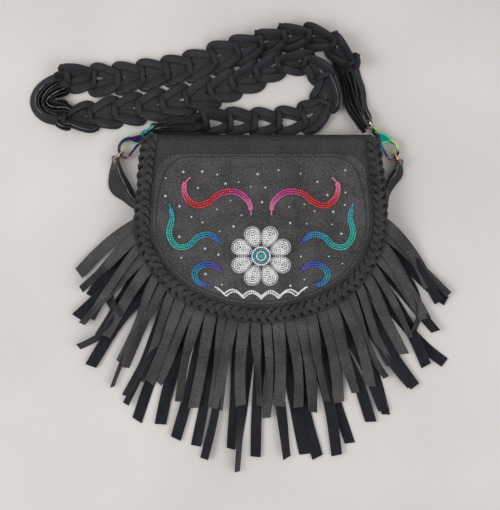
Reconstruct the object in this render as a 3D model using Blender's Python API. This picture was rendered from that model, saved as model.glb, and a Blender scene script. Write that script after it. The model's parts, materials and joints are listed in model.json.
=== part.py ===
"""Fringed leather shoulder bag with a beaded flap and a braided strap.

Metres, +Z up. The bag lies on its back: the back panel is on the ground, the
flap faces +Z and the fold at the flap's top lies towards +Y. The origin is on
the outer face of the back panel, on the bag's middle line.
"""

import math
import random

import bmesh
import bpy
from mathutils import Vector

# Clearances
GAP = 0.0003
RUNNING_GAP = 0.0005

# Leather thicknesses
PANEL_LEATHER = 0.0018
FLAP_LEATHER = 0.0018
BEAD_PANEL_LEATHER = 0.0013
GUSSET_LEATHER = 0.0016
FRINGE_LEATHER = 0.0014
LOOP_LEATHER = 0.0016

# Bag body, seen from the front
FOLD_Y = 0.0930
BODY_WIDE_HALF = 0.1100
BODY_TAPER = 0.0040
BODY_WIDE_Y = 0.0020
BODY_BOTTOM_Y = -0.1050
SEAM_ALLOWANCE = 0.0050
GUSSET_DEPTH = 0.0210
MOUTH_DEPTH = 0.0380
CROWN = 0.0045
CROWN_FADE = 0.0700
BACK_CORNER_RADIUS = 0.0110

# Flap, without its laced edge
FLAP_WIDE_HALF = 0.1180
FLAP_TAPER = 0.0070
FLAP_TOP_HALF = FLAP_WIDE_HALF - FLAP_TAPER
FLAP_WIDE_Y = 0.0050
FLAP_BOTTOM_Y = -0.0845
FLAP_HINGE_SETBACK = 0.0080
FOLD_LAND = 0.0015
FOLD_RADIUS = FLAP_HINGE_SETBACK - PANEL_LEATHER / 2 - FOLD_LAND
BEAD_PANEL_MARGIN = 0.0110
BEAD_PANEL_TOP_SETBACK = 0.0100

# Laced edge of the flap
LACE_OUT = 0.0075
LACE_IN = 0.0070
LACE_LIP = 0.0015
LACE_BULGE = 0.0009
LACE_PITCH = 0.0125
LACE_TOP_SETBACK = 0.0070

# Fringes
FRINGE_PITCH = 0.0110
FRINGE_WIDTH = 0.0102
FRINGE_SLIT = 0.0012
FRINGE_HEADER = 0.0080
FRINGE_START_Y = 0.0150
FRINGE_STEPS = 5
FAN_SHARE_MIDDLE = 0.62
FAN_SHARE_SIDE = 0.46
FAN_SHARE_ROOT = 0.14
UPPER_LENGTH = 0.0980
UPPER_SIDE_LOSS = 0.0080
LOWER_LENGTH = 0.1310
LOWER_SIDE_LOSS = 0.0260
LOWER_DRAPE = 0.0340
UPPER_DRAPE = 0.0500
LAYER_LIFT = 0.0018
RIM_CLEARANCE = 0.0080

# Snap between flap and front panel
SNAP_RADIUS = 0.0080
SNAP_Y = -0.0500
SNAP_SPLIT = 0.5

# Braided strap
STRAP_HALF_WIDTH = 0.0150
STRAP_HALF_THICKNESS = 0.0043
STRAP_EDGE_THICKNESS = 0.0022
STRAP_LINK_PITCH = 0.0247
STRAP_VEE_SHARE = 0.32
STRAP_END_HALF_WIDTH = 0.0065
STRAP_TAPER_LENGTH = 0.0350
STRAP_END_ROLL_DEG = -88.0
STRAP_STRETCHES = (
    "strap_right_run",
    "strap_top_run",
    "strap_left_turn",
    "strap_middle_run",
    "strap_right_turn",
    "strap_low_run",
)

# Middle line of the strap from the right hook to the left, as (x, distance above the fold, roll in degrees)
STRAP_ROUTE = (
    (0.0975, 0.0370, -72.0),
    (0.0935, 0.0560, -58.0),
    (0.0870, 0.0760, -50.0),
    (0.0720, 0.0930, -48.0),
    (0.0500, 0.1010, -42.0),
    (0.0250, 0.1005, -38.0),
    (-0.0040, 0.0930, -30.0),
    (-0.0340, 0.0850, -18.0),
    (-0.0640, 0.0760, 0.0),
    (-0.0940, 0.0690, 0.0),
    (-0.1240, 0.0645, 0.0),
    (-0.1540, 0.0610, 0.0),
    (-0.1790, 0.0610, -15.0),
    (-0.2020, 0.0580, -50.0),
    (-0.2180, 0.0490, -78.0),
    (-0.2240, 0.0370, -82.0),
    (-0.2170, 0.0260, -75.0),
    (-0.2000, 0.0220, -45.0),
    (-0.1760, 0.0230, -12.0),
    (-0.1460, 0.0285, 0.0),
    (-0.1160, 0.0325, 0.0),
    (-0.0860, 0.0375, 0.0),
    (-0.0560, 0.0455, 5.0),
    (-0.0290, 0.0545, 20.0),
    (-0.0030, 0.0640, 32.0),
    (0.0200, 0.0735, 40.0),
    (0.0410, 0.0760, 45.0),
    (0.0570, 0.0690, 45.0),
    (0.0640, 0.0530, 40.0),
    (0.0620, 0.0370, 20.0),
    (0.0520, 0.0250, 5.0),
    (0.0350, 0.0190, 0.0),
    (0.0100, 0.0175, 0.0),
    (-0.0160, 0.0175, 0.0),
    (-0.0420, 0.0165, -18.0),
    (-0.0640, 0.0145, -52.0),
    (-0.0830, 0.0145, -72.0),
)

# Swivel snap hooks, with lengths along each hook from the middle of its eye
WIRE_RADIUS = 0.0015
EYE_OUT_X = 0.0020
RIGHT_EYE_OUT_Y = 0.0110
LEFT_EYE_OUT_Y = 0.0080
RIGHT_HOOK_SLANT_DEG = 52.0
LEFT_HOOK_SLANT_DEG = 40.0
EYE_BAR_BACK = 0.0055
EYE_HALF_HEIGHT = 0.0080
EYE_CORNER = 0.0020
EYE_FRONT = 0.0040
HUB_LENGTH = 0.0050
HUB_RADIUS = 0.0040
POST_RADIUS = 0.0018
POST_HEAD_RADIUS = 0.0026
POST_HEAD_LENGTH = 0.0016
HOOK_LENGTH = 0.0300
HOOK_HALF_THICKNESS = 0.0024
GATE_HALF_THICKNESS = 0.0010
GATE_HALF_WIDTH = 0.0012
GATE_PIN_RADIUS = 0.0008
HOOK_TIP_HALF = 0.0019
HOOK_END_SHARE = 0.97
GATE_PIVOT_SHARE = 0.19
GATE_PIVOT_ACROSS = -0.0030
GATE_TIP_SHARE = 0.80
GATE_TIP_ACROSS = -0.0066
SLOT_BACK = 0.0040
SLOT_FRONT = 0.0200
SLOT_SHIFT = 0.0035
SLOT_HALF_WIDTH = 0.0060
D_HALF_HEIGHT = 0.0077
D_HOOK_CLEARANCE = 0.0035
D_SEAT_GAP = 0.0006
D_INNER_RADIUS = D_HALF_HEIGHT - WIRE_RADIUS
D_ARM = D_HOOK_CLEARANCE + 2 * HOOK_TIP_HALF + WIRE_RADIUS + D_SEAT_GAP - D_INNER_RADIUS
HOOK_HEIGHT = max(EYE_HALF_HEIGHT, D_HALF_HEIGHT) + WIRE_RADIUS + GAP

# Side tabs
TAB_HALF_WIDTH = D_HALF_HEIGHT - WIRE_RADIUS - 2 * RUNNING_GAP
TAB_ROOT_Y = 0.0215
TAB_ROOT_SPREAD = 0.0090

# Leather loops between strap and eyes
STRAP_LOOP_HALF_WIDTH = EYE_HALF_HEIGHT - EYE_CORNER - RUNNING_GAP
STRAP_LOOP_REACH = 0.0080

# Beadwork, drawn for a panel of DESIGN_HALF and sized with the panel
DESIGN_HALF = 0.1070
DESIGN_SCALE = (FLAP_WIDE_HALF - BEAD_PANEL_MARGIN) / DESIGN_HALF
BEAD_HEIGHT = 0.0018
ROSETTE_Y = -0.0260
ROSETTE_RADIUS = 0.0320
ROSETTE_PETALS = 8
BORDER_HALF = 0.0460
BORDER_Y = -0.0660
BORDER_WAVE = 0.0055
BORDER_RISE = 0.0040
BORDER_END_HALF_WIDTH = 0.0012
BORDER_SWELL = 0.0010

random.seed(11)


def clear_scene():
    for old in list(bpy.data.objects):
        bpy.data.objects.remove(old, do_unlink=True)


def material(name, colour, roughness, metallic=0.0):
    made = bpy.data.materials.new(name)
    made.use_nodes = True
    shader = made.node_tree.nodes["Principled BSDF"]
    shader.inputs["Base Color"].default_value = (*colour, 1.0)
    shader.inputs["Roughness"].default_value = roughness
    shader.inputs["Metallic"].default_value = metallic
    made.diffuse_color = (*colour, 1.0)
    return made


def smooth(t):
    t = min(1.0, max(0.0, t))
    return t * t * (3.0 - 2.0 * t)


def mix(a, b, t):
    return a + (b - a) * t


class LeatherCut:
    """A U-shaped leather outline: flared sides above a half-ellipse."""

    def __init__(self, top_y, top_half, wide_y, wide_half, bottom_y):
        self.top_y = top_y
        self.top_half = top_half
        self.wide_y = wide_y
        self.wide_half = wide_half
        self.bottom_y = bottom_y

    def inset(self, margin):
        return LeatherCut(
            self.top_y,
            self.top_half - margin,
            self.wide_y,
            self.wide_half - margin,
            self.bottom_y + margin,
        )

    def below(self, top_y):
        """The same outline, cut off straight at a lower top."""
        return LeatherCut(top_y, self.half_width(top_y), self.wide_y, self.wide_half, self.bottom_y)

    def half_width(self, y):
        if y >= self.wide_y:
            t = (y - self.wide_y) / (self.top_y - self.wide_y)
            return mix(self.wide_half, self.top_half, t * t)
        t = min(1.0, (self.wide_y - y) / (self.wide_y - self.bottom_y))
        return self.wide_half * math.sqrt(1.0 - t * t)

    def reach(self, x, y):
        """0 on the middle line and 1 on the outline."""
        if y >= self.wide_y:
            return abs(x) / self.half_width(y)
        return math.hypot(x / self.wide_half, (y - self.wide_y) / (self.wide_y - self.bottom_y))

    def outside(self, x, y):
        """Distance beyond the outline, negative within it."""
        if y >= self.wide_y:
            return abs(x) - self.half_width(y)
        reach = max(self.reach(x, y), 0.05)
        return math.hypot(x, y - self.wide_y) * (1.0 - 1.0 / reach)

    def rows(self, straight_rows, round_rows, last_angle=84.0):
        """Heights of the rows of a grid, from the top to just above the bottom."""
        heights = [mix(self.top_y, self.wide_y, i / straight_rows) for i in range(straight_rows)]
        for i in range(round_rows + 1):
            angle = math.radians(last_angle * i / round_rows)
            heights.append(self.wide_y - (self.wide_y - self.bottom_y) * math.sin(angle))
        return heights

    def edge(self, start_y, fine=400):
        """Points down the left side, round the bottom and up the right side."""
        left = []
        side_steps = fine // 8
        for i in range(side_steps):
            y = mix(start_y, self.wide_y, i / side_steps)
            left.append(Vector((-self.half_width(y), y)))
        for i in range(fine // 2 + 1):
            angle = 0.5 * math.pi * i / (fine // 2)
            x = -self.wide_half * math.cos(angle)
            y = self.wide_y - (self.wide_y - self.bottom_y) * math.sin(angle)
            left.append(Vector((x, y)))
        right = [Vector((-p.x, p.y)) for p in reversed(left[:-1])]
        return left + right


class Trail:
    """A path measured by its length, with a tangent at each place."""

    def __init__(self, points):
        self.points = points
        self.marks = [0.0]
        for a, b in zip(points, points[1:]):
            self.marks.append(self.marks[-1] + (b - a).length)
        self.length = self.marks[-1]

    def at(self, place):
        place = min(max(place, 0.0), self.length)
        low, high = 0, len(self.marks) - 1
        while high - low > 1:
            middle = (low + high) // 2
            if self.marks[middle] <= place:
                low = middle
            else:
                high = middle
        step = max(self.marks[high] - self.marks[low], 1e-9)
        return self.points[low].lerp(self.points[high], (place - self.marks[low]) / step)

    def heading(self, place, window=0.002):
        ahead = self.at(place + window)
        behind = self.at(place - window)
        return (ahead - behind).normalized()


def smooth_curve(points, per_span=8):
    """A smooth curve through hand-chosen points of any dimension."""
    curve = []
    last = len(points) - 1
    for i in range(last):
        before = points[max(i - 1, 0)]
        here = points[i]
        there = points[i + 1]
        after = points[min(i + 2, last)]
        for k in range(per_span):
            t = k / per_span
            pull_out = (there - before) * 0.5
            pull_in = (after - here) * 0.5
            curve.append(
                here * (2 * t**3 - 3 * t**2 + 1)
                + pull_out * (t**3 - 2 * t**2 + t)
                + there * (-2 * t**3 + 3 * t**2)
                + pull_in * (t**3 - t**2)
            )
    curve.append(points[last])
    return curve


BODY = LeatherCut(FOLD_Y, BODY_WIDE_HALF - BODY_TAPER, BODY_WIDE_Y, BODY_WIDE_HALF, BODY_BOTTOM_Y)
HINGE_Y = FOLD_Y - FLAP_HINGE_SETBACK
FLAP = LeatherCut(HINGE_Y, FLAP_TOP_HALF, FLAP_WIDE_Y, FLAP_WIDE_HALF, FLAP_BOTTOM_Y)

# Heights of the layers, from the ground up
FRONT_UNDERSIDE = PANEL_LEATHER + GAP + GUSSET_DEPTH + GAP
FRONT_TOP = FRONT_UNDERSIDE + PANEL_LEATHER
LOWER_HEADER_Z = FRONT_UNDERSIDE - GAP - FRINGE_LEATHER / 2
UPPER_HEADER_LIFT = RUNNING_GAP + FRINGE_LEATHER / 2
FLAP_OVER_HEADER = FRINGE_LEATHER / 2 + GAP + LACE_LIP + GAP + FLAP_LEATHER / 2
LOWER_FLOOR_Z = GAP + FRINGE_LEATHER / 2
UPPER_FLOOR_Z = LOWER_FLOOR_Z + 2 * LAYER_LIFT
HINGE_Z = FRONT_TOP + UPPER_HEADER_LIFT + FLAP_OVER_HEADER + FLAP_LEATHER / 2


def crown(x, y):
    """How far the stuffed front rises above its seam."""
    reach = min(1.0, BODY.reach(x, y))
    return CROWN * (1.0 - reach * reach) ** 2 * smooth((FOLD_Y - y) / CROWN_FADE)


def front_height(x, y):
    return FRONT_UNDERSIDE + PANEL_LEATHER / 2 + crown(x, y)


def upper_height(x, y):
    """Middle of the upper fringe's layer, on the bag and down to the ground."""
    start = FRONT_TOP + UPPER_HEADER_LIFT + crown(x, y)
    beyond = min(BODY.outside(x, y), FLAP.outside(x, y))
    return mix(start, UPPER_FLOOR_Z, smooth((beyond - RIM_CLEARANCE) / UPPER_DRAPE))


def lower_height(x, y):
    return mix(LOWER_HEADER_Z, LOWER_FLOOR_Z, smooth(BODY.outside(x, y) / LOWER_DRAPE))


def flap_height(x, y):
    return upper_height(x, y) + FLAP_OVER_HEADER


def flap_top(x, y):
    return flap_height(x, y) + FLAP_LEATHER / 2


def panel_top(x, y):
    return flap_top(x, y) + GAP + BEAD_PANEL_LEATHER


def keep(name, bm, skin, smooth_angle=35.0):
    """Turn a bmesh into a named object with one material."""
    bmesh.ops.recalc_face_normals(bm, faces=bm.faces)
    mesh = bpy.data.meshes.new(name)
    bm.to_mesh(mesh)
    bm.free()
    mesh.shade_smooth()
    mesh.set_sharp_from_angle(angle=math.radians(smooth_angle))
    mesh.materials.append(skin)
    made = bpy.data.objects.new(name, mesh)
    bpy.context.scene.collection.objects.link(made)
    return made


def loft(name, rings, skin, closed=False, smooth_angle=35.0):
    """A solid through rings of points, capped at both ends or closed on itself."""
    bm = bmesh.new()
    loops = [[bm.verts.new(p) for p in ring] for ring in rings]
    count = len(loops[0])
    pairs = list(zip(loops, loops[1:]))
    if closed:
        pairs.append((loops[-1], loops[0]))
    for a, b in pairs:
        for i in range(count):
            j = (i + 1) % count
            bm.faces.new((a[i], a[j], b[j], b[i]))
    if not closed:
        bm.faces.new(list(reversed(loops[0])))
        bm.faces.new(loops[-1])
    return keep(name, bm, skin, smooth_angle)


def flat_section(centre, side, up, half_width, half_thickness):
    """Four corners of a strap or strip."""
    across = side * half_width
    over = up * half_thickness
    return [centre - across + over, centre + across + over, centre + across - over, centre - across - over]


def round_section(centre, side, up, radius, sides=10):
    ring = []
    for i in range(sides):
        angle = 2.0 * math.pi * i / sides
        ring.append(centre + side * (radius * math.cos(angle)) + up * (radius * math.sin(angle)))
    return ring


def sheet(name, rows, columns, skin):
    """A leather sheet from rows of (point on the left, point on the right, thickness direction)."""
    bm = bmesh.new()
    over, under = [], []
    for place, thickness_way in rows:
        over.append([])
        under.append([])
        for c in range(columns + 1):
            middle = place(2.0 * c / columns - 1.0)
            over[-1].append(bm.verts.new(middle + thickness_way))
            under[-1].append(bm.verts.new(middle - thickness_way))
    for r in range(len(rows) - 1):
        for c in range(columns):
            bm.faces.new((over[r][c], over[r + 1][c], over[r + 1][c + 1], over[r][c + 1]))
            bm.faces.new((under[r][c], under[r][c + 1], under[r + 1][c + 1], under[r + 1][c]))
        for c in (0, columns):
            bm.faces.new((over[r][c], under[r][c], under[r + 1][c], over[r + 1][c]))
    for r in (0, len(rows) - 1):
        for c in range(columns):
            bm.faces.new((over[r][c], over[r][c + 1], under[r][c + 1], under[r][c]))
    return keep(name, bm, skin)


def cut_rows(cut, height, thickness, straight_rows, round_rows):
    """Rows of a sheet that follows a leather cut and a height over the ground."""
    rows = []
    for y in cut.rows(straight_rows, round_rows):
        half = cut.half_width(y)

        def place(u, y=y, half=half):
            return Vector((u * half, y, height(u * half, y)))

        rows.append((place, Vector((0.0, 0.0, thickness / 2))))
    return rows


def back_panel(skin):
    """The back, which turns up over the mouth and forward to the flap's fold."""
    middle = PANEL_LEATHER / 2
    flat = BODY.below(FOLD_Y - BACK_CORNER_RADIUS)
    rows = cut_rows(flat, lambda x, y: middle, PANEL_LEATHER, 3, 10)
    rows.reverse()
    wall_y = FOLD_Y - middle
    fold_z = HINGE_Z - FLAP_LEATHER / 2
    turns = []
    for i in range(1, 5):
        angle = math.radians(90.0 * i / 4)
        radius = BACK_CORNER_RADIUS
        y = FOLD_Y - BACK_CORNER_RADIUS + (wall_y - FOLD_Y + radius) * math.sin(angle)
        z = middle + radius * (1.0 - math.cos(angle))
        turns.append((y, z, angle))
    for i in range(5):
        angle = math.radians(90.0 * i / 4)
        radius = FOLD_RADIUS
        y = wall_y - radius * (1.0 - math.cos(angle))
        z = fold_z - radius + radius * math.sin(angle)
        turns.append((y, z, angle + math.pi / 2))
    turns.append((HINGE_Y + GAP, fold_z, math.pi))
    base_half = flat.top_half
    for y, z, angle in turns:
        rise = (z - middle) / (fold_z - middle)
        half = mix(base_half, FLAP_TOP_HALF, smooth(rise))
        inward = Vector((0.0, -math.sin(angle), math.cos(angle))) * (PANEL_LEATHER / 2)

        def place(u, y=y, z=z, half=half):
            return Vector((u * half, y, z))

        rows.append((place, inward))
    return sheet("back_panel", rows, 12, skin)


def front_panel(skin):
    cut = BODY.below(FOLD_Y - MOUTH_DEPTH)
    return sheet("front_panel", cut_rows(cut, front_height, PANEL_LEATHER, 3, 7), 10, skin)


def gusset(skin):
    """The side wall, bent round the U between the back and the front."""
    outline = BODY.inset(SEAM_ALLOWANCE)
    trail = Trail(outline.edge(FOLD_Y - BACK_CORNER_RADIUS - 2 * PANEL_LEATHER))
    z_low = PANEL_LEATHER + GAP
    z_middle = z_low + GUSSET_DEPTH / 2
    stations = 32
    rings = []
    for i in range(stations + 1):
        place = trail.length * i / stations
        point = trail.at(place)
        heading = trail.heading(place)
        out = Vector((heading.y, -heading.x, 0.0))
        centre = Vector((point.x, point.y, z_middle)) - out * (GUSSET_LEATHER / 2)
        rings.append(flat_section(centre, out, Vector((0, 0, 1)), GUSSET_LEATHER / 2, GUSSET_DEPTH / 2))
    return loft("gusset", rings, skin)


def flap(skin):
    return sheet("flap", cut_rows(FLAP, flap_height, FLAP_LEATHER, 4, 7), 10, skin)


def beaded_panel(skin):
    inner = FLAP.inset(BEAD_PANEL_MARGIN)
    cut = inner.below(HINGE_Y - BEAD_PANEL_TOP_SETBACK)
    middle = FLAP_LEATHER / 2 + GAP + BEAD_PANEL_LEATHER / 2
    rows = cut_rows(cut, lambda x, y: flap_height(x, y) + middle, BEAD_PANEL_LEATHER, 4, 7)
    return sheet("beaded_panel", rows, 10, skin)


def flap_lacing(skin):
    """The braid laced over the flap's edge: a lumpy channel that grips the leather."""
    trail = Trail(FLAP.edge(HINGE_Y - LACE_TOP_SETBACK))
    lumps = round(trail.length / LACE_PITCH)
    grip = FLAP_LEATHER / 2 + GAP
    rings = []
    for i in range(2 * lumps + 1):
        place = trail.length * i / (2 * lumps)
        point = trail.at(place)
        heading = trail.heading(place)
        out = Vector((heading.y, -heading.x, 0.0))
        swell = LACE_BULGE if i % 2 else 0.0
        lip = grip + LACE_LIP
        section = [
            (-LACE_IN, grip),
            (-LACE_IN + 0.001, lip),
            (LACE_OUT * 0.25, lip + swell),
            (LACE_OUT - 0.0012, lip * 0.7 + swell),
            (LACE_OUT + swell * 0.5, 0.0),
            (LACE_OUT - 0.0012, -lip * 0.7),
            (0.0, -lip),
            (-LACE_IN, -lip),
            (-LACE_IN, -grip),
            (GAP, -grip),
            (GAP, grip),
        ]
        ring = []
        for outward, height in section:
            x = point.x + out.x * outward
            y = point.y + out.y * outward
            ring.append(Vector((x, y, flap_height(x, y) + height)))
        rings.append(ring)
    return loft("flap_lacing", rings, skin)


def fringe_comb(name, trail, first, last, total, header_in, height, length_of, skin):
    """One piece of leather cut into strips below an uncut header."""
    pitch = trail.length / total
    bm = bmesh.new()
    half = FRINGE_LEATHER / 2

    def column(place):
        point = trail.at(place)
        heading = trail.heading(place)
        out = Vector((heading.y, -heading.x))
        corners = []
        for outward, over in ((-header_in, half), (0.0, half), (0.0, -half), (-header_in, -half)):
            x = point.x + out.x * outward
            y = point.y + out.y * outward
            corners.append(bm.verts.new((x, y, height(x, y) + over)))
        return corners

    columns = []
    for i in range(first, last):
        start = i * pitch + FRINGE_SLIT / 2
        columns.append(column(start))
        columns.append(column(start + pitch - FRINGE_SLIT))
    for k, (a, b) in enumerate(zip(columns, columns[1:])):
        bm.faces.new((a[0], b[0], b[1], a[1]))
        bm.faces.new((a[3], a[2], b[2], b[3]))
        bm.faces.new((a[0], a[3], b[3], b[0]))
        if k % 2:
            bm.faces.new((a[1], b[1], b[2], a[2]))
    bm.faces.new(columns[0])
    bm.faces.new(list(reversed(columns[-1])))

    for i in range(first, last):
        a, b = columns[2 * (i - first)], columns[2 * (i - first) + 1]
        ring = [a[1], b[1], b[2], a[2]]
        middle = (i + 0.5) * pitch
        point = trail.at(middle)
        tangent = trail.heading(middle)
        normal_angle = math.atan2(-tangent.x, tangent.y)
        lean = (normal_angle + math.pi / 2 + math.pi) % (2 * math.pi) - math.pi
        spread = abs(lean) / (math.pi / 2)
        length = length_of(spread) * random.uniform(0.95, 1.03)
        settle = mix(FAN_SHARE_MIDDLE, FAN_SHARE_SIDE, spread) + random.uniform(-0.02, 0.02)
        root_share = settle + FAN_SHARE_ROOT
        root_width = (pitch - FRINGE_SLIT) * math.cos(lean * (1.0 - root_share))
        lift = LAYER_LIFT if i % 2 else 0.0
        step = length / FRINGE_STEPS
        for s in range(1, FRINGE_STEPS + 1):
            t = s / FRINGE_STEPS
            angle = -math.pi / 2 + lean * mix(root_share, settle, smooth(t * 1.6))
            heading = Vector((math.cos(angle), math.sin(angle)))
            point = point + heading * step
            side = Vector((-heading.y, heading.x))
            width = (min(root_width, FRINGE_WIDTH) if s == 1 else FRINGE_WIDTH) / 2
            rise = lift * smooth(t * FRINGE_STEPS)
            corners = []
            for across, over in ((-1, half), (1, half), (1, -half), (-1, -half)):
                x = point.x + side.x * width * across
                y = point.y + side.y * width * across
                corners.append(bm.verts.new((x, y, height(x, y) + rise + over)))
            for k in range(4):
                n = (k + 1) % 4
                bm.faces.new((ring[k], ring[n], corners[n], corners[k]))
            ring = corners
        bm.faces.new(ring)
    return keep(name, bm, skin)


def fringe_tier(names, cut, header_in, height, length_of, skin):
    """Three combs side by side round the bottom of a leather cut."""
    trail = Trail(cut.edge(FRINGE_START_Y))
    total = round(trail.length / FRINGE_PITCH)
    third = total // 3
    bounds = (0, third, total - third, total)
    tier = []
    for name, first, last in zip(names, bounds, bounds[1:]):
        tier.append(fringe_comb(name, trail, first, last, total, header_in, height, length_of, skin))
    return tier


def upper_length(spread):
    return UPPER_LENGTH - UPPER_SIDE_LOSS * spread * spread


def lower_length(spread):
    return LOWER_LENGTH - LOWER_SIDE_LOSS * spread * spread


def disc(name, centre, normal, radius, height, skin, sides=20):
    """A button with a domed rim, standing on its centre along its normal."""
    side = Vector((1, 0, 0))
    up = normal.normalized()
    across = up.cross(side).normalized()
    rings = []
    for share, rise in ((1.0, 0.0), (1.0, 0.7), (0.85, 1.0)):
        rings.append(round_section(centre + up * (height * rise), side, across, radius * share, sides))
    return loft(name, rings, skin)


def snap_pair(metal):
    """Two halves of a magnetic snap, which fill the gap between front and flap."""
    slope = (front_height(0, SNAP_Y + 0.001) - front_height(0, SNAP_Y - 0.001)) / 0.002
    normal = Vector((0.0, -slope, 1.0)).normalized()
    low = Vector((0.0, SNAP_Y, front_height(0, SNAP_Y) + PANEL_LEATHER / 2 + RUNNING_GAP))
    high = Vector((0.0, SNAP_Y, flap_height(0, SNAP_Y) - FLAP_LEATHER / 2 - RUNNING_GAP))
    room = (high - low).length
    half_height = (room - GAP) * SNAP_SPLIT
    socket = disc("snap_socket", low, normal, SNAP_RADIUS, half_height, metal)
    stud = disc("snap_stud", high, -normal, SNAP_RADIUS, half_height, metal)
    return socket, stud


def strap_route():
    """Middle line of the strap as (x, y, roll in radians), from the right eye to the left."""
    right_end = strap_end(1)
    left_end = strap_end(-1)
    end_roll = math.radians(STRAP_END_ROLL_DEG)
    route = [Vector((right_end.x, right_end.y, end_roll))]
    for x, y, roll in STRAP_ROUTE:
        route.append(Vector((x, FOLD_Y + y, math.radians(roll))))
    route.append(Vector((left_end.x, left_end.y, end_roll)))
    return route


class StrapLine:
    """The strap's middle line, with its section at each place."""

    def __init__(self):
        curve = smooth_curve(strap_route())
        self.rolls = [p.z for p in curve]
        self.trail = Trail([Vector((p.x, p.y)) for p in curve])
        self.length = self.trail.length

    def roll(self, place):
        marks = self.trail.marks
        for i in range(len(marks) - 1):
            if place <= marks[i + 1]:
                step = max(marks[i + 1] - marks[i], 1e-9)
                return mix(self.rolls[i], self.rolls[i + 1], (place - marks[i]) / step)
        return self.rolls[-1]

    def half_width(self, place):
        from_end = min(place, self.length - place)
        return mix(STRAP_END_HALF_WIDTH, STRAP_HALF_WIDTH, smooth(from_end / STRAP_TAPER_LENGTH))

    def frame(self, place):
        """Centre, side and up of the strap; it rests on the ground at its low edge."""
        point = self.trail.at(place)
        heading = self.trail.heading(place, 0.004)
        roll = self.roll(place)
        left = Vector((-heading.y, heading.x, 0.0))
        side = left * math.cos(roll) + Vector((0, 0, 1)) * math.sin(roll)
        up = Vector((heading.x, heading.y, 0.0)).cross(side)
        half_width = self.half_width(place)
        lowest = half_width * abs(math.sin(roll)) + STRAP_HALF_THICKNESS * abs(math.cos(roll))
        from_end = min(place, self.length - place)
        height = mix(HOOK_HEIGHT, lowest + GAP, smooth(from_end / STRAP_TAPER_LENGTH))
        return Vector((point.x, point.y, max(height, lowest + GAP))), side, up, half_width


def strap_stretch(name, line, first_link, last_link, total, skin):
    """A run of interlinked chevrons, each with a gap through its middle."""
    pitch = line.length / total
    vee = pitch * STRAP_VEE_SHARE
    rows = ((0.0, 0.20, 0.86), (0.30, 0.16, 1.0), (0.72, 0.46, 0.80))
    bm = bmesh.new()
    grid = []
    for link in range(first_link, last_link + 1):
        for share, hole, swell in rows:
            if link == last_link and share > 0.0:
                break
            ends = (link == first_link and share == 0.0, link == last_link)
            nudge = GAP / 2 if ends[0] and first_link else 0.0
            if ends[1] and last_link < total:
                nudge = -GAP / 2
            over, under = [], []
            for t in (-1.0, -hole, hole, 1.0):
                base = (link + share) * pitch + nudge
                lag = vee * (0.5 - abs(t)) if 0 < link + share < total else 0.0
                place = min(max(base - lag, 0.0), line.length)
                centre, side, up, half_width = line.frame(place)
                thick = STRAP_EDGE_THICKNESS if abs(t) == 1.0 else STRAP_HALF_THICKNESS * swell
                widen = 1.0 if share else 0.93
                across = side * (half_width * t * (widen if abs(t) == 1.0 else 1.0))
                over.append(bm.verts.new(centre + across + up * thick))
                under.append(bm.verts.new(centre + across - up * thick))
            grid.append((over, under, share))
    for (over_a, under_a, share), (over_b, under_b, _) in zip(grid, grid[1:]):
        pierced = share == rows[1][0]
        for c in range(3):
            if pierced and c == 1:
                continue
            bm.faces.new((over_a[c], over_a[c + 1], over_b[c + 1], over_b[c]))
            bm.faces.new((under_a[c], under_b[c], under_b[c + 1], under_a[c + 1]))
        bm.faces.new((over_a[0], over_b[0], under_b[0], under_a[0]))
        bm.faces.new((over_a[3], under_a[3], under_b[3], over_b[3]))
        if pierced:
            bm.faces.new((over_a[1], under_a[1], under_b[1], over_b[1]))
            bm.faces.new((over_a[2], over_b[2], under_b[2], under_a[2]))
            bm.faces.new((over_a[1], over_a[2], under_a[2], under_a[1]))
            bm.faces.new((over_b[1], under_b[1], under_b[2], over_b[2]))
    for over, under, _ in (grid[0], grid[-1]):
        for c in range(3):
            bm.faces.new((over[c], under[c], under[c + 1], over[c + 1]))
    return keep(name, bm, skin)


def braided_strap(skin):
    line = StrapLine()
    total = round(line.length / STRAP_LINK_PITCH)
    shares = (0.0, 0.14, 0.36, 0.50, 0.72, 0.855, 1.0)
    links = [round(total * share) for share in shares]
    pieces = []
    for name, first, last in zip(STRAP_STRETCHES, links, links[1:]):
        pieces.append(strap_stretch(name, line, first, last, total, skin))
    return pieces


class HookLine:
    """One hook's own directions: along it, across it, and where its eye is."""

    def __init__(self, hand):
        self.hand = hand
        slant = math.radians(RIGHT_HOOK_SLANT_DEG if hand > 0 else LEFT_HOOK_SLANT_DEG)
        self.along = Vector((hand * math.cos(slant), -math.sin(slant), 0.0))
        self.across = Vector((hand * math.sin(slant), math.cos(slant), 0.0))
        out_y = RIGHT_EYE_OUT_Y if hand > 0 else LEFT_EYE_OUT_Y
        self.eye = Vector((hand * (BODY_WIDE_HALF + EYE_OUT_X), FOLD_Y + out_y, HOOK_HEIGHT))

    def at(self, along, across=0.0, up=0.0):
        return self.eye + self.along * along + self.across * across + Vector((0, 0, up))

    @property
    def suffix(self):
        return "right" if self.hand > 0 else "left"


def strap_end(hand):
    """Where the braid stops, just short of the leather loop on the eye."""
    hook = HookLine(hand)
    bar = hook.at(-EYE_BAR_BACK)
    way = loop_way(hand)
    return bar + way * (STRAP_LOOP_REACH + GAP)


def loop_way(hand):
    """Level direction in which the strap leaves the bar of the eye."""
    x, above_fold, _ = STRAP_ROUTE[0 if hand > 0 else -1]
    bar = HookLine(hand).at(-EYE_BAR_BACK)
    return Vector((x - bar.x, FOLD_Y + above_fold - bar.y, 0.0)).normalized()


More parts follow.
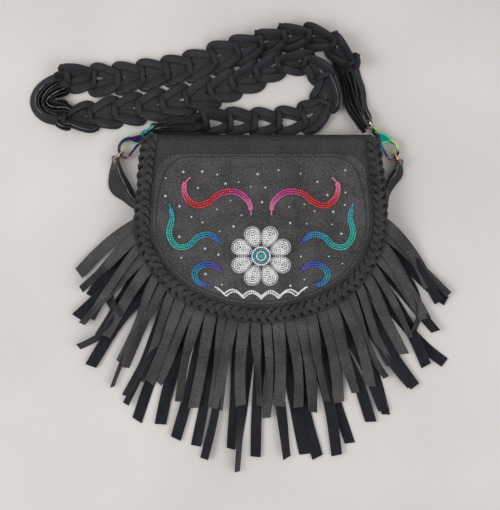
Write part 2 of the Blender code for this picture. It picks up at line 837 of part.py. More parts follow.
def hairpin(name, bar, way, reach, half_width, skin):
    """A leather strip folded round an upright bar, with both ends side by side."""
    inner = WIRE_RADIUS + GAP
    middle = inner + LOOP_LEATHER / 2
    side = Vector((-way.y, way.x, 0.0))
    up = Vector((0, 0, 1))
    rings = []
    straight = 3
    for i in range(straight):
        back = mix(reach, 0.0, i / straight)
        rings.append(flat_section(bar + way * back + side * middle, side, up, LOOP_LEATHER / 2, half_width))
    for i in range(9):
        angle = math.pi * i / 8
        out = side * math.cos(angle) - way * math.sin(angle)
        rings.append(flat_section(bar + out * middle, out, up, LOOP_LEATHER / 2, half_width))
    for i in range(1, straight + 1):
        back = mix(0.0, reach, i / straight)
        rings.append(flat_section(bar + way * back - side * middle, -side, up, LOOP_LEATHER / 2, half_width))
    return loft(name, rings, skin)


def swivel_eye(hook, metal):
    """A ring with an upright bar for the strap and a bored hub for the hook's post."""
    name = "swivel_eye_" + hook.suffix
    up = Vector((0, 0, 1))
    corners = []
    rounding = EYE_CORNER
    back, front, high = -EYE_BAR_BACK, EYE_FRONT, EYE_HALF_HEIGHT
    for along, rise, start in (
        (back + rounding, high - rounding, 90),
        (back + rounding, -high + rounding, 180),
        (front - rounding, -high + rounding, 270),
        (front - rounding, high - rounding, 0),
    ):
        for i in range(4):
            angle = math.radians(start + 30 * i)
            corners.append((along + rounding * math.cos(angle), rise + rounding * math.sin(angle)))
    rings = []
    for i, (along, rise) in enumerate(corners):
        before = corners[i - 1]
        after = corners[(i + 1) % len(corners)]
        way = Vector((after[0] - before[0], after[1] - before[1])).normalized()
        out = hook.along * way.y - up * way.x
        rings.append(round_section(hook.at(along, 0.0, rise), out, hook.across, WIRE_RADIUS, 8))
    ring = loft(name, rings, metal, closed=True)

    hub_rings = []
    for along in (EYE_FRONT - WIRE_RADIUS * 0.6, EYE_FRONT + HUB_LENGTH):
        hub_rings.append(round_section(hook.at(along), hook.across, up, HUB_RADIUS, 12))
    hub = loft("cutter_hub_" + hook.suffix, hub_rings, metal)
    bore_rings = []
    for along in (EYE_FRONT - 2 * WIRE_RADIUS, EYE_FRONT + HUB_LENGTH + WIRE_RADIUS):
        bore_rings.append(round_section(hook.at(along), hook.across, up, POST_RADIUS + GAP, 12))
    bore = loft("cutter_bore_" + hook.suffix, bore_rings, metal)
    join(ring, hub, "UNION")
    join(ring, bore, "DIFFERENCE")
    return ring


def join(body, tool, operation):
    """Add a Boolean and hide its tool."""
    step = body.modifiers.new(operation.lower(), "BOOLEAN")
    step.operation = operation
    step.object = tool
    tool.hide_render = True
    tool.display_type = "WIRE"


def hook_body(hook, metal):
    """The snap hook: post, shoulder with a slot for the gate, and a curved arm."""
    up = Vector((0, 0, 1))
    shoulder = EYE_FRONT + HUB_LENGTH + RUNNING_GAP
    reach = HOOK_LENGTH
    arm = (
        (0.00, 0.0000, 0.0034),
        (0.08, 0.0000, 0.0050),
        (0.20, 0.0008, 0.0060),
        (0.30, 0.0034, 0.0044),
        (0.42, 0.0066, 0.0028),
        (0.58, 0.0084, 0.0022),
        (0.76, 0.0078, 0.0021),
        (0.90, 0.0052, 0.0020),
        (HOOK_END_SHARE, 0.0010, HOOK_TIP_HALF),
        (0.96, -0.0034, 0.0018),
        (0.90, -0.0060, 0.0016),
        (0.84, -0.0068, 0.0013),
    )
    curve = smooth_curve([Vector((shoulder + share * reach, across, half)) for share, across, half in arm], 2)
    rings = []
    for i, (along, across, half) in enumerate(curve):
        before = curve[max(i - 1, 0)]
        after = curve[min(i + 1, len(curve) - 1)]
        way = Vector((after[0] - before[0], after[1] - before[1])).normalized()
        out = hook.along * -way.y + hook.across * way.x
        centre = hook.at(along, across)
        thick = HOOK_HALF_THICKNESS
        ring = []
        for w, h in ((-1, -0.5), (-0.6, -1), (0.6, -1), (1, -0.5), (1, 0.5), (0.6, 1), (-0.6, 1), (-1, 0.5)):
            ring.append(centre + out * (half * w) + up * (thick * h))
        rings.append(ring)
    body = loft("hook_" + hook.suffix, rings, metal)

    post_rings = []
    head_back = EYE_FRONT - WIRE_RADIUS - RUNNING_GAP
    for along, radius in (
        (head_back - POST_HEAD_LENGTH, POST_HEAD_RADIUS),
        (head_back, POST_HEAD_RADIUS),
        (head_back, POST_RADIUS),
        (shoulder + 0.001, POST_RADIUS),
    ):
        post_rings.append(round_section(hook.at(along), hook.across, up, radius, 10))
    post = loft("cutter_post_" + hook.suffix, post_rings, metal)
    join(body, post, "UNION")

    pivot = gate_pivot(hook)
    slot_rings = []
    slot_half = GATE_HALF_THICKNESS + GAP
    for offset in (-SLOT_BACK, SLOT_FRONT):
        centre = pivot + hook.along * offset - hook.across * SLOT_SHIFT
        slot_rings.append(flat_section(centre, hook.across, up, SLOT_HALF_WIDTH, slot_half))
    slot = loft("cutter_slot_" + hook.suffix, slot_rings, metal)
    join(body, slot, "DIFFERENCE")
    hole = rod("cutter_pin_" + hook.suffix, pivot, HOOK_HALF_THICKNESS * 2, GATE_PIN_RADIUS + GAP, metal)
    join(body, hole, "DIFFERENCE")
    return body


def rod(name, centre, half_length, radius, skin, sides=12):
    """An upright round pin."""
    rings = []
    for rise in (-half_length, half_length):
        rings.append(round_section(centre + Vector((0, 0, rise)), Vector((1, 0, 0)), Vector((0, 1, 0)), radius, sides))
    return loft(name, rings, skin)


def gate_pivot(hook):
    shoulder = EYE_FRONT + HUB_LENGTH + RUNNING_GAP
    return hook.at(shoulder + GATE_PIVOT_SHARE * HOOK_LENGTH, GATE_PIVOT_ACROSS)


def gate(hook, metal):
    """The sprung tongue that closes the hook's mouth."""
    pivot = gate_pivot(hook)
    up = Vector((0, 0, 1))
    shoulder = EYE_FRONT + HUB_LENGTH + RUNNING_GAP
    tip = hook.at(shoulder + GATE_TIP_SHARE * HOOK_LENGTH, GATE_TIP_ACROSS)
    way = (tip - pivot).normalized()
    out = Vector((-way.y, way.x, 0.0)) * hook.hand
    length = (tip - pivot).length
    sections = ((-0.0016, 1.3), (0.0, 1.7), (0.003, 1.3), (length * 0.5, 1.0), (length - 0.0006, 1.0), (length, 0.7))
    rings = []
    for along, share in sections:
        half = GATE_HALF_WIDTH * share
        rings.append(flat_section(pivot + way * along, out, up, half, GATE_HALF_THICKNESS))
    tongue = loft("gate_" + hook.suffix, rings, metal)
    hole = rod("cutter_gate_" + hook.suffix, pivot, HOOK_HALF_THICKNESS, GATE_PIN_RADIUS + GAP, metal)
    join(tongue, hole, "DIFFERENCE")
    return tongue


def gate_pin(hook, metal):
    return rod("gate_pin_" + hook.suffix, gate_pivot(hook), HOOK_HALF_THICKNESS, GATE_PIN_RADIUS, metal)


def d_bar(hook):
    """Middle of the D-ring's straight bar, beyond the end of the hook."""
    shoulder = EYE_FRONT + HUB_LENGTH + RUNNING_GAP
    hook_end = shoulder + HOOK_LENGTH * HOOK_END_SHARE + HOOK_TIP_HALF
    return hook.at(hook_end + D_HOOK_CLEARANCE + WIRE_RADIUS)


def d_ring(hook, metal):
    """A wire D standing on edge through the hook, its bar upright in the tab."""
    bar = d_bar(hook)
    up = Vector((0, 0, 1))
    shape = [(0.0, -D_HALF_HEIGHT), (0.0, 0.0), (0.0, D_HALF_HEIGHT)]
    shape.append((-D_ARM, D_HALF_HEIGHT))
    for i in range(1, 8):
        angle = math.pi * i / 8
        shape.append((-D_ARM - D_HALF_HEIGHT * math.sin(angle), D_HALF_HEIGHT * math.cos(angle)))
    shape.append((-D_ARM, -D_HALF_HEIGHT))
    rings = []
    for i, (along, rise) in enumerate(shape):
        before = shape[i - 1]
        after = shape[(i + 1) % len(shape)]
        way = Vector((after[0] - before[0], after[1] - before[1])).normalized()
        out = hook.along * way.y - up * way.x
        rings.append(round_section(bar + hook.along * along + up * rise, out, hook.across, WIRE_RADIUS, 8))
    return loft("d_ring_" + hook.suffix, rings, metal, closed=True)


def side_tab(hook, skin):
    """A leather strip from the side seam, out round the D-ring's bar and back."""
    bar = d_bar(hook)
    hand = hook.hand
    gusset_x = BODY.inset(SEAM_ALLOWANCE).half_width(TAB_ROOT_Y) + GAP
    middle = WIRE_RADIUS + GAP + LOOP_LEATHER / 2
    root_low = Vector((hand * gusset_x, TAB_ROOT_Y, HOOK_HEIGHT))
    root_high = Vector((hand * gusset_x, TAB_ROOT_Y + TAB_ROOT_SPREAD, HOOK_HEIGHT))
    way = (root_low + root_high) / 2 - bar
    way = (way + Vector((-hand * 0.006, -0.014, 0.0))).normalized()
    side = Vector((-way.y, way.x, 0.0)) * hand
    outer = [
        root_low,
        root_low + Vector((hand * 0.012, 0.0035, 0.0)),
        root_low.lerp(bar, 0.55) + side * 0.0065,
        bar + way * 0.008 + side * (middle + 0.0006),
    ]
    wrap = []
    for i in range(7):
        angle = math.pi * i / 6
        wrap.append(bar + (side * math.cos(angle) - way * math.sin(angle)) * middle)
    inner = [
        bar + way * 0.008 - side * (middle + 0.0004),
        root_high.lerp(bar, 0.45) - side * 0.0012,
        root_high + Vector((hand * 0.010, 0.0040, 0.0)),
        root_high,
    ]
    path = smooth_curve(outer + wrap[:1], 3) + wrap[1:-1] + smooth_curve(wrap[-1:] + inner, 3)
    rings = []
    up = Vector((0, 0, 1))
    for i, point in enumerate(path):
        ahead = path[min(i + 1, len(path) - 1)]
        behind = path[max(i - 1, 0)]
        heading = (ahead - behind).normalized()
        if i in (0, len(path) - 1):
            heading = Vector((hand if i == 0 else -hand, 0.0, 0.0))
        out = Vector((-heading.y, heading.x, 0.0))
        rings.append(flat_section(point, out, up, LOOP_LEATHER / 2, TAB_HALF_WIDTH))
    return loft("side_tab_" + hook.suffix, rings, skin)


def on_panel(x, y, rise=0.0):
    """A point of the beadwork on the panel, with x and y as the design is drawn."""
    x *= DESIGN_SCALE
    y *= DESIGN_SCALE
    return Vector((x, y, panel_top(x, y) + GAP + rise))


def rosette(skin):
    """A beaded flower of rounded petals about a raised middle."""
    bm = bmesh.new()
    around = ROSETTE_PETALS * 4
    shares = (0.30, 0.62, 1.0)
    rises = (1.0, 0.85, 0.45)

    def point(share, i, rise):
        angle = 2.0 * math.pi * i / around
        petal = 0.84 + 0.16 * abs(math.cos(ROSETTE_PETALS * angle / 2.0))
        radius = ROSETTE_RADIUS * share * mix(1.0, petal, share)
        x = radius * math.cos(angle)
        y = ROSETTE_Y + radius * math.sin(angle)
        return bm.verts.new(on_panel(x, y, rise))

    over = [[point(s, i, BEAD_HEIGHT * r) for i in range(around)] for s, r in zip(shares, rises)]
    under = [[point(s, i, 0.0) for i in range(around)] for s in shares]
    top = bm.verts.new(on_panel(0.0, ROSETTE_Y, BEAD_HEIGHT * 1.2))
    base = bm.verts.new(on_panel(0.0, ROSETTE_Y))
    for i in range(around):
        j = (i + 1) % around
        bm.faces.new((top, over[0][i], over[0][j]))
        bm.faces.new((base, under[0][j], under[0][i]))
        for a, b in zip(over, over[1:]):
            bm.faces.new((a[i], b[i], b[j], a[j]))
        for a, b in zip(under, under[1:]):
            bm.faces.new((a[i], a[j], b[j], b[i]))
        bm.faces.new((over[-1][i], under[-1][i], under[-1][j], over[-1][j]))
    return keep("bead_rosette", bm, skin)


# Middle lines of the beaded vines on the right half, as (x, y, half width)
VINES = {
    "upper": (
        (0.0100, 0.0140, 0.0012),
        (0.0120, 0.0270, 0.0022),
        (0.0240, 0.0370, 0.0029),
        (0.0400, 0.0360, 0.0032),
        (0.0520, 0.0270, 0.0030),
        (0.0640, 0.0240, 0.0028),
        (0.0740, 0.0320, 0.0024),
        (0.0760, 0.0440, 0.0018),
        (0.0700, 0.0520, 0.0012),
    ),
    "side": (
        (0.0390, -0.0140, 0.0012),
        (0.0500, -0.0050, 0.0026),
        (0.0620, -0.0070, 0.0032),
        (0.0720, -0.0160, 0.0032),
        (0.0840, -0.0160, 0.0030),
        (0.0910, -0.0040, 0.0026),
        (0.0880, 0.0120, 0.0022),
        (0.0910, 0.0260, 0.0012),
    ),
    "lower": (
        (0.0380, -0.0420, 0.0012),
        (0.0470, -0.0350, 0.0024),
        (0.0580, -0.0350, 0.0028),
        (0.0660, -0.0430, 0.0028),
        (0.0610, -0.0530, 0.0022),
        (0.0510, -0.0540, 0.0013),
    ),
}


def vine(kind, hand, skin):
    """A curling ribbon of bead rows, thin at both ends."""
    curve = smooth_curve([Vector((hand * x, y, half)) for x, y, half in VINES[kind]], 3)
    rings = []
    for i, (x, y, half) in enumerate(curve):
        ahead = curve[min(i + 1, len(curve) - 1)]
        behind = curve[max(i - 1, 0)]
        heading = Vector((ahead[0] - behind[0], ahead[1] - behind[1])).normalized()
        out = Vector((-heading.y, heading.x))
        ring = []
        for across, rise in ((-1.0, 0.0), (1.0, 0.0), (0.75, 1.0), (-0.75, 1.0)):
            px = x + out.x * half * across
            py = y + out.y * half * across
            ring.append(on_panel(px, py, BEAD_HEIGHT * rise))
        rings.append(ring)
    suffix = "right" if hand > 0 else "left"
    return loft("bead_vine_" + kind + "_" + suffix, rings, skin)


def bead_border(skin):
    """A low white garland under the flower."""
    rings = []
    steps = 24
    for i in range(steps + 1):
        t = 2.0 * i / steps - 1.0
        x = BORDER_HALF * t
        y = BORDER_Y + BORDER_WAVE * abs(math.sin(2.5 * math.pi * t)) + BORDER_RISE * t * t
        half = BORDER_END_HALF_WIDTH + BORDER_SWELL * (1.0 - t * t)
        ring = []
        for across, rise in ((-1.0, 0.0), (1.0, 0.0), (0.6, 1.0), (-0.6, 1.0)):
            ring.append(on_panel(x, y - half * across, BEAD_HEIGHT * rise))
        rings.append(ring)
    return loft("bead_border", rings, skin)


def main():
    clear_scene()
    grain = material("grain_leather", (0.045, 0.042, 0.042), 0.55)
    suede = material("suede_leather", (0.014, 0.015, 0.020), 0.90)
    lace = material("lace_leather", (0.032, 0.030, 0.030), 0.50)
    braid = material("strap_leather", (0.024, 0.025, 0.028), 0.60)
    metal = material("oil_slick_metal", (0.20, 0.25, 0.45), 0.20, 1.0)
    steel = material("snap_metal", (0.45, 0.45, 0.46), 0.30, 1.0)
    pearl = material("pearl_beads", (0.80, 0.79, 0.77), 0.25)
    magenta = material("magenta_beads", (0.55, 0.06, 0.25), 0.20)
    teal = material("teal_beads", (0.02, 0.35, 0.30), 0.20)
    blue = material("blue_beads", (0.03, 0.05, 0.40), 0.20)

    back_panel(grain)
    front_panel(grain)
    gusset(grain)
    flap(grain)
    beaded_panel(grain)
    flap_lacing(lace)
    upper = ("upper_fringe_left", "upper_fringe_centre", "upper_fringe_right")
    lower = ("lower_fringe_left", "lower_fringe_centre", "lower_fringe_right")
    fringe_tier(upper, FLAP, FRINGE_HEADER, upper_height, upper_length, grain)
    lower_header = SEAM_ALLOWANCE - 2 * GAP
    fringe_tier(lower, BODY, lower_header, lower_height, lower_length, suede)
    snap_pair(steel)
    braided_strap(braid)
    for hand in (1, -1):
        hook = HookLine(hand)
        hairpin(
            "strap_loop_" + hook.suffix,
            hook.at(-EYE_BAR_BACK),
            loop_way(hand),
            STRAP_LOOP_REACH,
            STRAP_LOOP_HALF_WIDTH,
            braid,
        )
        swivel_eye(hook, metal)
        hook_body(hook, metal)
        gate(hook, metal)
        gate_pin(hook, metal)
        d_ring(hook, metal)
        side_tab(hook, suede)
        vine("upper", hand, magenta)
        vine("side", hand, teal)
        vine("lower", hand, blue)
    rosette(pearl)
    bead_border(pearl)


main()
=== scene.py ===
"""Looks for a fringed leather shoulder bag that lies on its back.

Sizes are in metres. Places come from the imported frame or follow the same
leather cuts as the solids. The bag's middle line is X = 0, the fold at the
flap's top lies towards +Y and the front of the bag faces +Z.
"""

import json
import math
import random

import bmesh
import bpy
import numpy as np
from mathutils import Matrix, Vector


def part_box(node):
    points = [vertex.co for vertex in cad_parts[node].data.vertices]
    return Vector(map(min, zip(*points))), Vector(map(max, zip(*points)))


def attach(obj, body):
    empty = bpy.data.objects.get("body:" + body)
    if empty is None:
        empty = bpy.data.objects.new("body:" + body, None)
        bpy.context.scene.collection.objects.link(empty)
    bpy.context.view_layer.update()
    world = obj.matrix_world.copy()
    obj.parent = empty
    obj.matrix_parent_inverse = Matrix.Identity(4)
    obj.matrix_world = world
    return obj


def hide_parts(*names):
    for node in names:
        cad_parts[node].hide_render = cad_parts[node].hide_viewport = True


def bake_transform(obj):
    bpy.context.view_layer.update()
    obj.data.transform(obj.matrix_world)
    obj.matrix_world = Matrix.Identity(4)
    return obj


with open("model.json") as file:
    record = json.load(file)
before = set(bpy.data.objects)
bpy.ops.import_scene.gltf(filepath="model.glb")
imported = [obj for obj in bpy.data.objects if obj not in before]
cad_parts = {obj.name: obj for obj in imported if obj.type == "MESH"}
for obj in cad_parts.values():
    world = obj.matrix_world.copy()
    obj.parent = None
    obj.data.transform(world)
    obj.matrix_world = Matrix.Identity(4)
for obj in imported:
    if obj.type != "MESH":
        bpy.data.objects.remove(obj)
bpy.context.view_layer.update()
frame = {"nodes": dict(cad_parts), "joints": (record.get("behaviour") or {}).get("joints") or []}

MM = 0.001
UP = Vector((0.0, 0.0, 1.0))
GAP = 0.3 * MM

# The photograph shows one millimetre as one pixel.
PHOTO_LONG_SIDE = 510 * MM
VIEW_CENTRE = Vector((-11 * MM, -25 * MM, 20 * MM))
CAMERA_HEIGHT = 1.25
SENSOR_MM = 36.0

# Leather cuts, as in the solids
FOLD_Y = 93.0 * MM
HINGE_Y = 85.0 * MM
SEAM_ALLOWANCE = 5.0 * MM
PANEL_LEATHER = 1.8 * MM
FLAP_LEATHER = 1.8 * MM
BEAD_PANEL_LEATHER = 1.3 * MM
FRINGE_LEATHER = 1.3 * MM
GUSSET_DEPTH = 21.0 * MM
FRONT_UNDERSIDE = PANEL_LEATHER + GAP + GUSSET_DEPTH + GAP
FRONT_TOP = FRONT_UNDERSIDE + PANEL_LEATHER
UPPER_HEADER_LIFT = 1.2 * MM
FLAP_OVER_HEADER = 3.7 * MM
CROWN = 4.5 * MM
CROWN_FADE = 70.0 * MM
BACK_CORNER_RADIUS = 11.0 * MM
FOLD_RADIUS = 5.6 * MM
FLAP_SLOUCH = 2.6 * MM
SLOUCH_REACH = 16.0 * MM
RIPPLE = 0.17 * MM
RIPPLE_FADE = 20.0 * MM
PANEL_GAP = 0.1 * MM

# The flap's leather lies outside the back panel's rise and fold.
WALL_GAP = 0.2 * MM
FOLD_PLY = 1.6 * MM
FLAP_WALL_Y = FOLD_Y + WALL_GAP + FLAP_LEATHER / 2
FLAP_FOLD_RADIUS = FOLD_RADIUS + FOLD_PLY
FOLD_TOP_Y = FLAP_WALL_Y - FLAP_FOLD_RADIUS

# Seams
STITCH_PITCH = 3.4 * MM
STITCH_LENGTH = 2.3 * MM
STITCH_RADIUS = 0.32 * MM
FRONT_BELOW_FOLD = 38.0 * MM
FRONT_SEAM_BELOW_FOLD = 42.0 * MM
FRONT_SEAM_INSET = 2.4 * MM
PANEL_SEAM_INSET = 2.6 * MM

# Fringe, and the heights at which its two tiers rest
FRINGE_START_Y = 15.0 * MM
FRINGE_PITCH = 11.0 * MM
STRIP_WIDTH = 11.2 * MM
FAN_SHARE_MIDDLE = 0.62
FAN_SHARE_SIDE = 0.46
FAN_SHARE_ROOT = 0.14
LAYER_LIFT = 1.6 * MM
UPPER_REST = 4.4 * MM
UPPER_DROP_START = 5.0 * MM
UPPER_DROP = 48.0 * MM
LOWER_REST = 0.9 * MM
LOWER_DROP = 36.0 * MM

# Beads and crystals
BEAD_LENGTH = 1.75 * MM
BEAD_RADIUS = 1.05 * MM
BEAD_PITCH = 1.85 * MM
BEAD_ROW = 2.15 * MM

# How finely curves are drawn
LAST_ROW_DEG = 88.0
SPAN_STEPS = 8
SIDE_STEPS = 150
ROUND_STEPS = 300


def smooth(t):
    """0 to 1 with eased ends."""
    t = min(1.0, max(0.0, t))
    return t * t * (3.0 - 2.0 * t)


def mix(a, b, t):
    return a + (b - a) * t


class LeatherCut:
    """A U-shaped leather outline: flared sides above a half-ellipse."""

    def __init__(self, top_y, top_half, wide_y, wide_half, bottom_y, corner=0.0):
        self.top_y = top_y
        self.top_half = top_half
        self.wide_y = wide_y
        self.wide_half = wide_half
        self.bottom_y = bottom_y
        self.corner = corner

    def inset(self, margin, top_y=None, corner=0.0):
        """The same cut, smaller by a margin, with a top of its own."""
        top_y = self.top_y if top_y is None else top_y
        half = self.half_width(top_y) - margin
        return LeatherCut(top_y, half, self.wide_y, self.wide_half - margin, self.bottom_y + margin, corner)

    def half_width(self, y):
        """From the middle line to the outline."""
        if y >= self.wide_y:
            t = (y - self.wide_y) / (self.top_y - self.wide_y)
            half = mix(self.wide_half, self.top_half, t * t)
            below_top = self.top_y - y
            if below_top < self.corner:
                back = self.corner - below_top
                half -= self.corner - math.sqrt(max(self.corner**2 - back**2, 0.0))
            return half
        t = min(1.0, (self.wide_y - y) / (self.wide_y - self.bottom_y))
        return self.wide_half * math.sqrt(1.0 - t * t)

    def reach(self, x, y):
        """0 on the middle line and 1 on the outline."""
        if y >= self.wide_y:
            return abs(x) / self.half_width(y)
        return math.hypot(x / self.wide_half, (y - self.wide_y) / (self.wide_y - self.bottom_y))

    def outside(self, x, y):
        """Distance beyond the outline, negative within it."""
        if y >= self.wide_y:
            return abs(x) - self.half_width(y)
        reach = max(self.reach(x, y), 0.05)
        return math.hypot(x, y - self.wide_y) * (1.0 - 1.0 / reach)

    def rows(self, straight_rows, round_rows):
        """Heights of a sheet's rows, from the top to just short of the lowest point."""
        heights = []
        for i in range(straight_rows):
            t = i / straight_rows
            heights.append(mix(self.top_y, self.wide_y, t * t if self.corner else t))
        for i in range(round_rows + 1):
            angle = math.radians(LAST_ROW_DEG * i / round_rows)
            heights.append(self.wide_y - (self.wide_y - self.bottom_y) * math.sin(angle))
        return heights

    def edge(self, start_y):
        """Points down the left side, round the bottom and up the right side."""
        left = []
        for i in range(SIDE_STEPS):
            y = mix(start_y, self.wide_y, i / SIDE_STEPS)
            left.append(Vector((-self.half_width(y), y)))
        for i in range(ROUND_STEPS + 1):
            angle = 0.5 * math.pi * i / ROUND_STEPS
            y = self.wide_y - (self.wide_y - self.bottom_y) * math.sin(angle)
            left.append(Vector((-self.wide_half * math.cos(angle), y)))
        return left + [Vector((-p.x, p.y)) for p in reversed(left[:-1])]


BODY = LeatherCut(top_y=FOLD_Y, top_half=106 * MM, wide_y=2 * MM, wide_half=110 * MM, bottom_y=-105 * MM)
FLAP = LeatherCut(top_y=HINGE_Y, top_half=111 * MM, wide_y=5 * MM, wide_half=118 * MM, bottom_y=-84.5 * MM)
PANEL = FLAP.inset(margin=11 * MM, top_y=HINGE_Y - 10 * MM, corner=20 * MM)


class Trail:
    """A path measured by its length."""

    def __init__(self, points):
        self.points = points
        steps = [(b - a).length for a, b in zip(points, points[1:])]
        self.marks = np.concatenate(([0.0], np.cumsum(steps)))
        self.length = float(self.marks[-1])

    def at(self, place):
        """Point at a length along the path."""
        place = min(max(place, 0.0), self.length)
        high = min(int(np.searchsorted(self.marks, place, side="right")), len(self.marks) - 1)
        low = high - 1
        step = max(float(self.marks[high] - self.marks[low]), 1e-9)
        return self.points[low].lerp(self.points[high], (place - float(self.marks[low])) / step)

    def heading(self, place, window=1.5 * MM):
        """Direction of the path, taken over a window to either side."""
        return (self.at(place + window) - self.at(place - window)).normalized()


def smooth_curve(points, per_span=SPAN_STEPS):
    """A smooth curve through given points."""
    curve = []
    last = len(points) - 1
    for i in range(last):
        before, here = points[max(i - 1, 0)], points[i]
        there, after = points[i + 1], points[min(i + 2, last)]
        for k in range(per_span):
            t = k / per_span
            curve.append(
                here * (2 * t**3 - 3 * t**2 + 1)
                + (there - before) * (0.5 * (t**3 - 2 * t**2 + t))
                + there * (-2 * t**3 + 3 * t**2)
                + (after - here) * (0.5 * (t**3 - t**2))
            )
    curve.append(points[last])
    return curve


# Heights of the layers over the ground


def ripple(x, y):
    """Slow unevenness of hand-sewn leather, half a millimetre at most."""
    wave = math.sin(61 * x + 23 * y + 0.7) + math.sin(37 * y - 49 * x + 2.1) + math.sin(97 * x + 71 * y)
    return RIPPLE * wave


def crown(x, y):
    """The filled body rounds up in its middle."""
    reach = min(1.0, BODY.reach(x, y))
    return CROWN * (1.0 - reach * reach) ** 2 * smooth((FOLD_Y - y) / CROWN_FADE)


def slouch(x, y):
    """The flap's sides hang a little where nothing is under them."""
    return FLAP_SLOUCH * smooth((BODY.outside(x, y) + 2 * MM) / SLOUCH_REACH)


def flap_height(x, y):
    """Middle of the flap leather."""
    lift = FRONT_TOP + UPPER_HEADER_LIFT + FLAP_OVER_HEADER
    return lift + crown(x, y) - slouch(x, y) + ripple(x, y) * smooth((HINGE_Y - y) / RIPPLE_FADE)


def fold_drop(y):
    """How far the flap has turned down past the top of its fold."""
    past = min(max(y - FOLD_TOP_Y, 0.0), FLAP_FOLD_RADIUS)
    return FLAP_FOLD_RADIUS - math.sqrt(FLAP_FOLD_RADIUS**2 - past**2)


def flap_top(x, y):
    """Upper face of the flap leather."""
    return flap_height(x, y) + FLAP_LEATHER / 2


def panel_top(x, y):
    """Upper face of the panel that carries the beads."""
    return flap_top(x, y) + PANEL_GAP + BEAD_PANEL_LEATHER


def upper_height(x, y):
    """Middle of the upper fringe: from under the flap's edge down to the ground."""
    start = flap_height(x, y) - FLAP_OVER_HEADER
    beyond = min(BODY.outside(x, y), FLAP.outside(x, y))
    return mix(start, UPPER_REST, smooth((beyond - UPPER_DROP_START) / UPPER_DROP))


def lower_height(x, y):
    """Middle of the lower fringe: from the body's seam down to the ground."""
    start = FRONT_UNDERSIDE - GAP - FRINGE_LEATHER / 2
    return mix(start, LOWER_REST, smooth(BODY.outside(x, y) / LOWER_DROP))


# Building finishes: values and nodes


class Field:
    """A value over the surface; arithmetic on it adds Math nodes."""

    def __init__(self, finish, socket):
        self.finish = finish
        self.socket = socket

    def _math(self, operation, first, second):
        return self.finish.add("Math", {"operation": operation}, {0: first, 1: second})

    def __add__(self, other):
        return self._math("ADD", self, other)

    __radd__ = __add__

    def __sub__(self, other):
        return self._math("SUBTRACT", self, other)

    def __rsub__(self, other):
        return self._math("SUBTRACT", other, self)

    def __mul__(self, other):
        return self._math("MULTIPLY", self, other)

    __rmul__ = __mul__

    def between(self, low, high):
        """This value's rise from low to high, as a smooth 0 to 1."""
        settings = {"interpolation_type": "SMOOTHSTEP"}
        return self.finish.add("MapRange", settings, {"Value": self, "From Min": low, "From Max": high})


class Finish:
    """One material and its node tree."""

    def __init__(self, name):
        self.material = bpy.data.materials.new(name)
        self.material.use_nodes = True
        self.tree = self.material.node_tree
        self.shader = self.tree.nodes["Principled BSDF"]

    def add(self, kind, settings=None, inputs=None, out=0):
        """Any node: its type, its settings or ramp stops, and its sockets' values or links."""
        node = self.tree.nodes.new("ShaderNode" + kind)
        for name, value in (settings or {}).items():
            if name == "stops":
                self._stops(node.color_ramp, value)
            else:
                setattr(node, name, value)
        for key, value in (inputs or {}).items():
            self.feed(node.inputs[key], value)
        return Field(self, node.outputs[out])

    def _stops(self, ramp, stops):
        while len(ramp.elements) < len(stops):
            ramp.elements.new(0.5)
        for element, (position, colour) in zip(ramp.elements, stops):
            element.position = position
            element.color = (*colour, 1.0)

    def feed(self, socket, value):
        if isinstance(value, Field):
            self.tree.links.new(value.socket, socket)
        else:
            socket.default_value = value

    def set(self, **sockets):
        """Sockets of the shader, with underscores for spaces."""
        for name, value in sockets.items():
            if isinstance(value, tuple):
                value = (*value, 1.0)
            self.feed(self.shader.inputs[name.replace("_", " ")], value)

    def place(self):
        return self.add("TexCoord", out="Object")

    def share(self, vector, axis):
        """One axis of a vector."""
        return self.add("SeparateXYZ", None, {0: vector}, out=axis)

    def noise(self, scale, detail, roughness=0.5, stretch=None):
        place = self.place()
        if stretch:
            place = self.add("Mapping", None, {"Vector": place, "Scale": stretch})
        inputs = {"Vector": place, "Scale": scale, "Detail": detail, "Roughness": roughness}
        return self.add("TexNoise", None, inputs)

    def cells(self, scale):
        return self.add("TexVoronoi", None, {"Vector": self.place(), "Scale": scale})

    def blend(self, mask, first, second):
        """Colour mix by a mask."""
        first = first if isinstance(first, Field) else (*first, 1.0)
        second = second if isinstance(second, Field) else (*second, 1.0)
        return self.add("Mix", {"data_type": "RGBA"}, {0: mask, 6: first, 7: second}, out=2)

    def bump(self, height, distance, strength):
        """Relief that bends the light and leaves the mesh as it is."""
        inputs = {"Height": height, "Distance": distance, "Strength": strength}
        self.feed(self.shader.inputs["Normal"], self.add("Bump", None, inputs))

    def mark(self, name):
        """A value painted on the mesh's points."""
        return self.add("Attribute", {"attribute_name": name}, out="Fac")


def grain_leather(name, dark, light, raw_edge, pebble, gloss=0.50):
    """Pebbled leather: small domed cells painted lighter on their tops as a highlight, raw at cut edges."""
    made = Finish(name)
    cells = made.cells(pebble)
    domes = 1.0 - cells.between(0.0, 0.75)
    fine = made.noise(2600.0, 4.0, 0.6)
    cloud = made.noise(38.0, 3.0)
    # Painted highlight: the domes' tops are lighter in colour; fine and cloud add random tone.
    tone = domes * 0.32 + fine * 0.18 + cloud * 0.65
    colour = made.blend(tone.between(0.20, 0.95), dark, light)
    fray = made.noise(170.0, 2.0).between(0.40, 0.58)
    cut = made.mark("cut").between(0.35, 0.9) * (fray * 0.88 + 0.12)
    colour = made.blend(cut, colour, raw_edge)
    made.set(Base_Color=colour, Roughness=gloss + 0.22 * cloud - 0.12 * domes, Specular_IOR_Level=0.42)
    made.bump(domes * 0.9 + fine * 0.4 + cloud * 0.8, 0.5 * MM, 0.9)
    return made.material


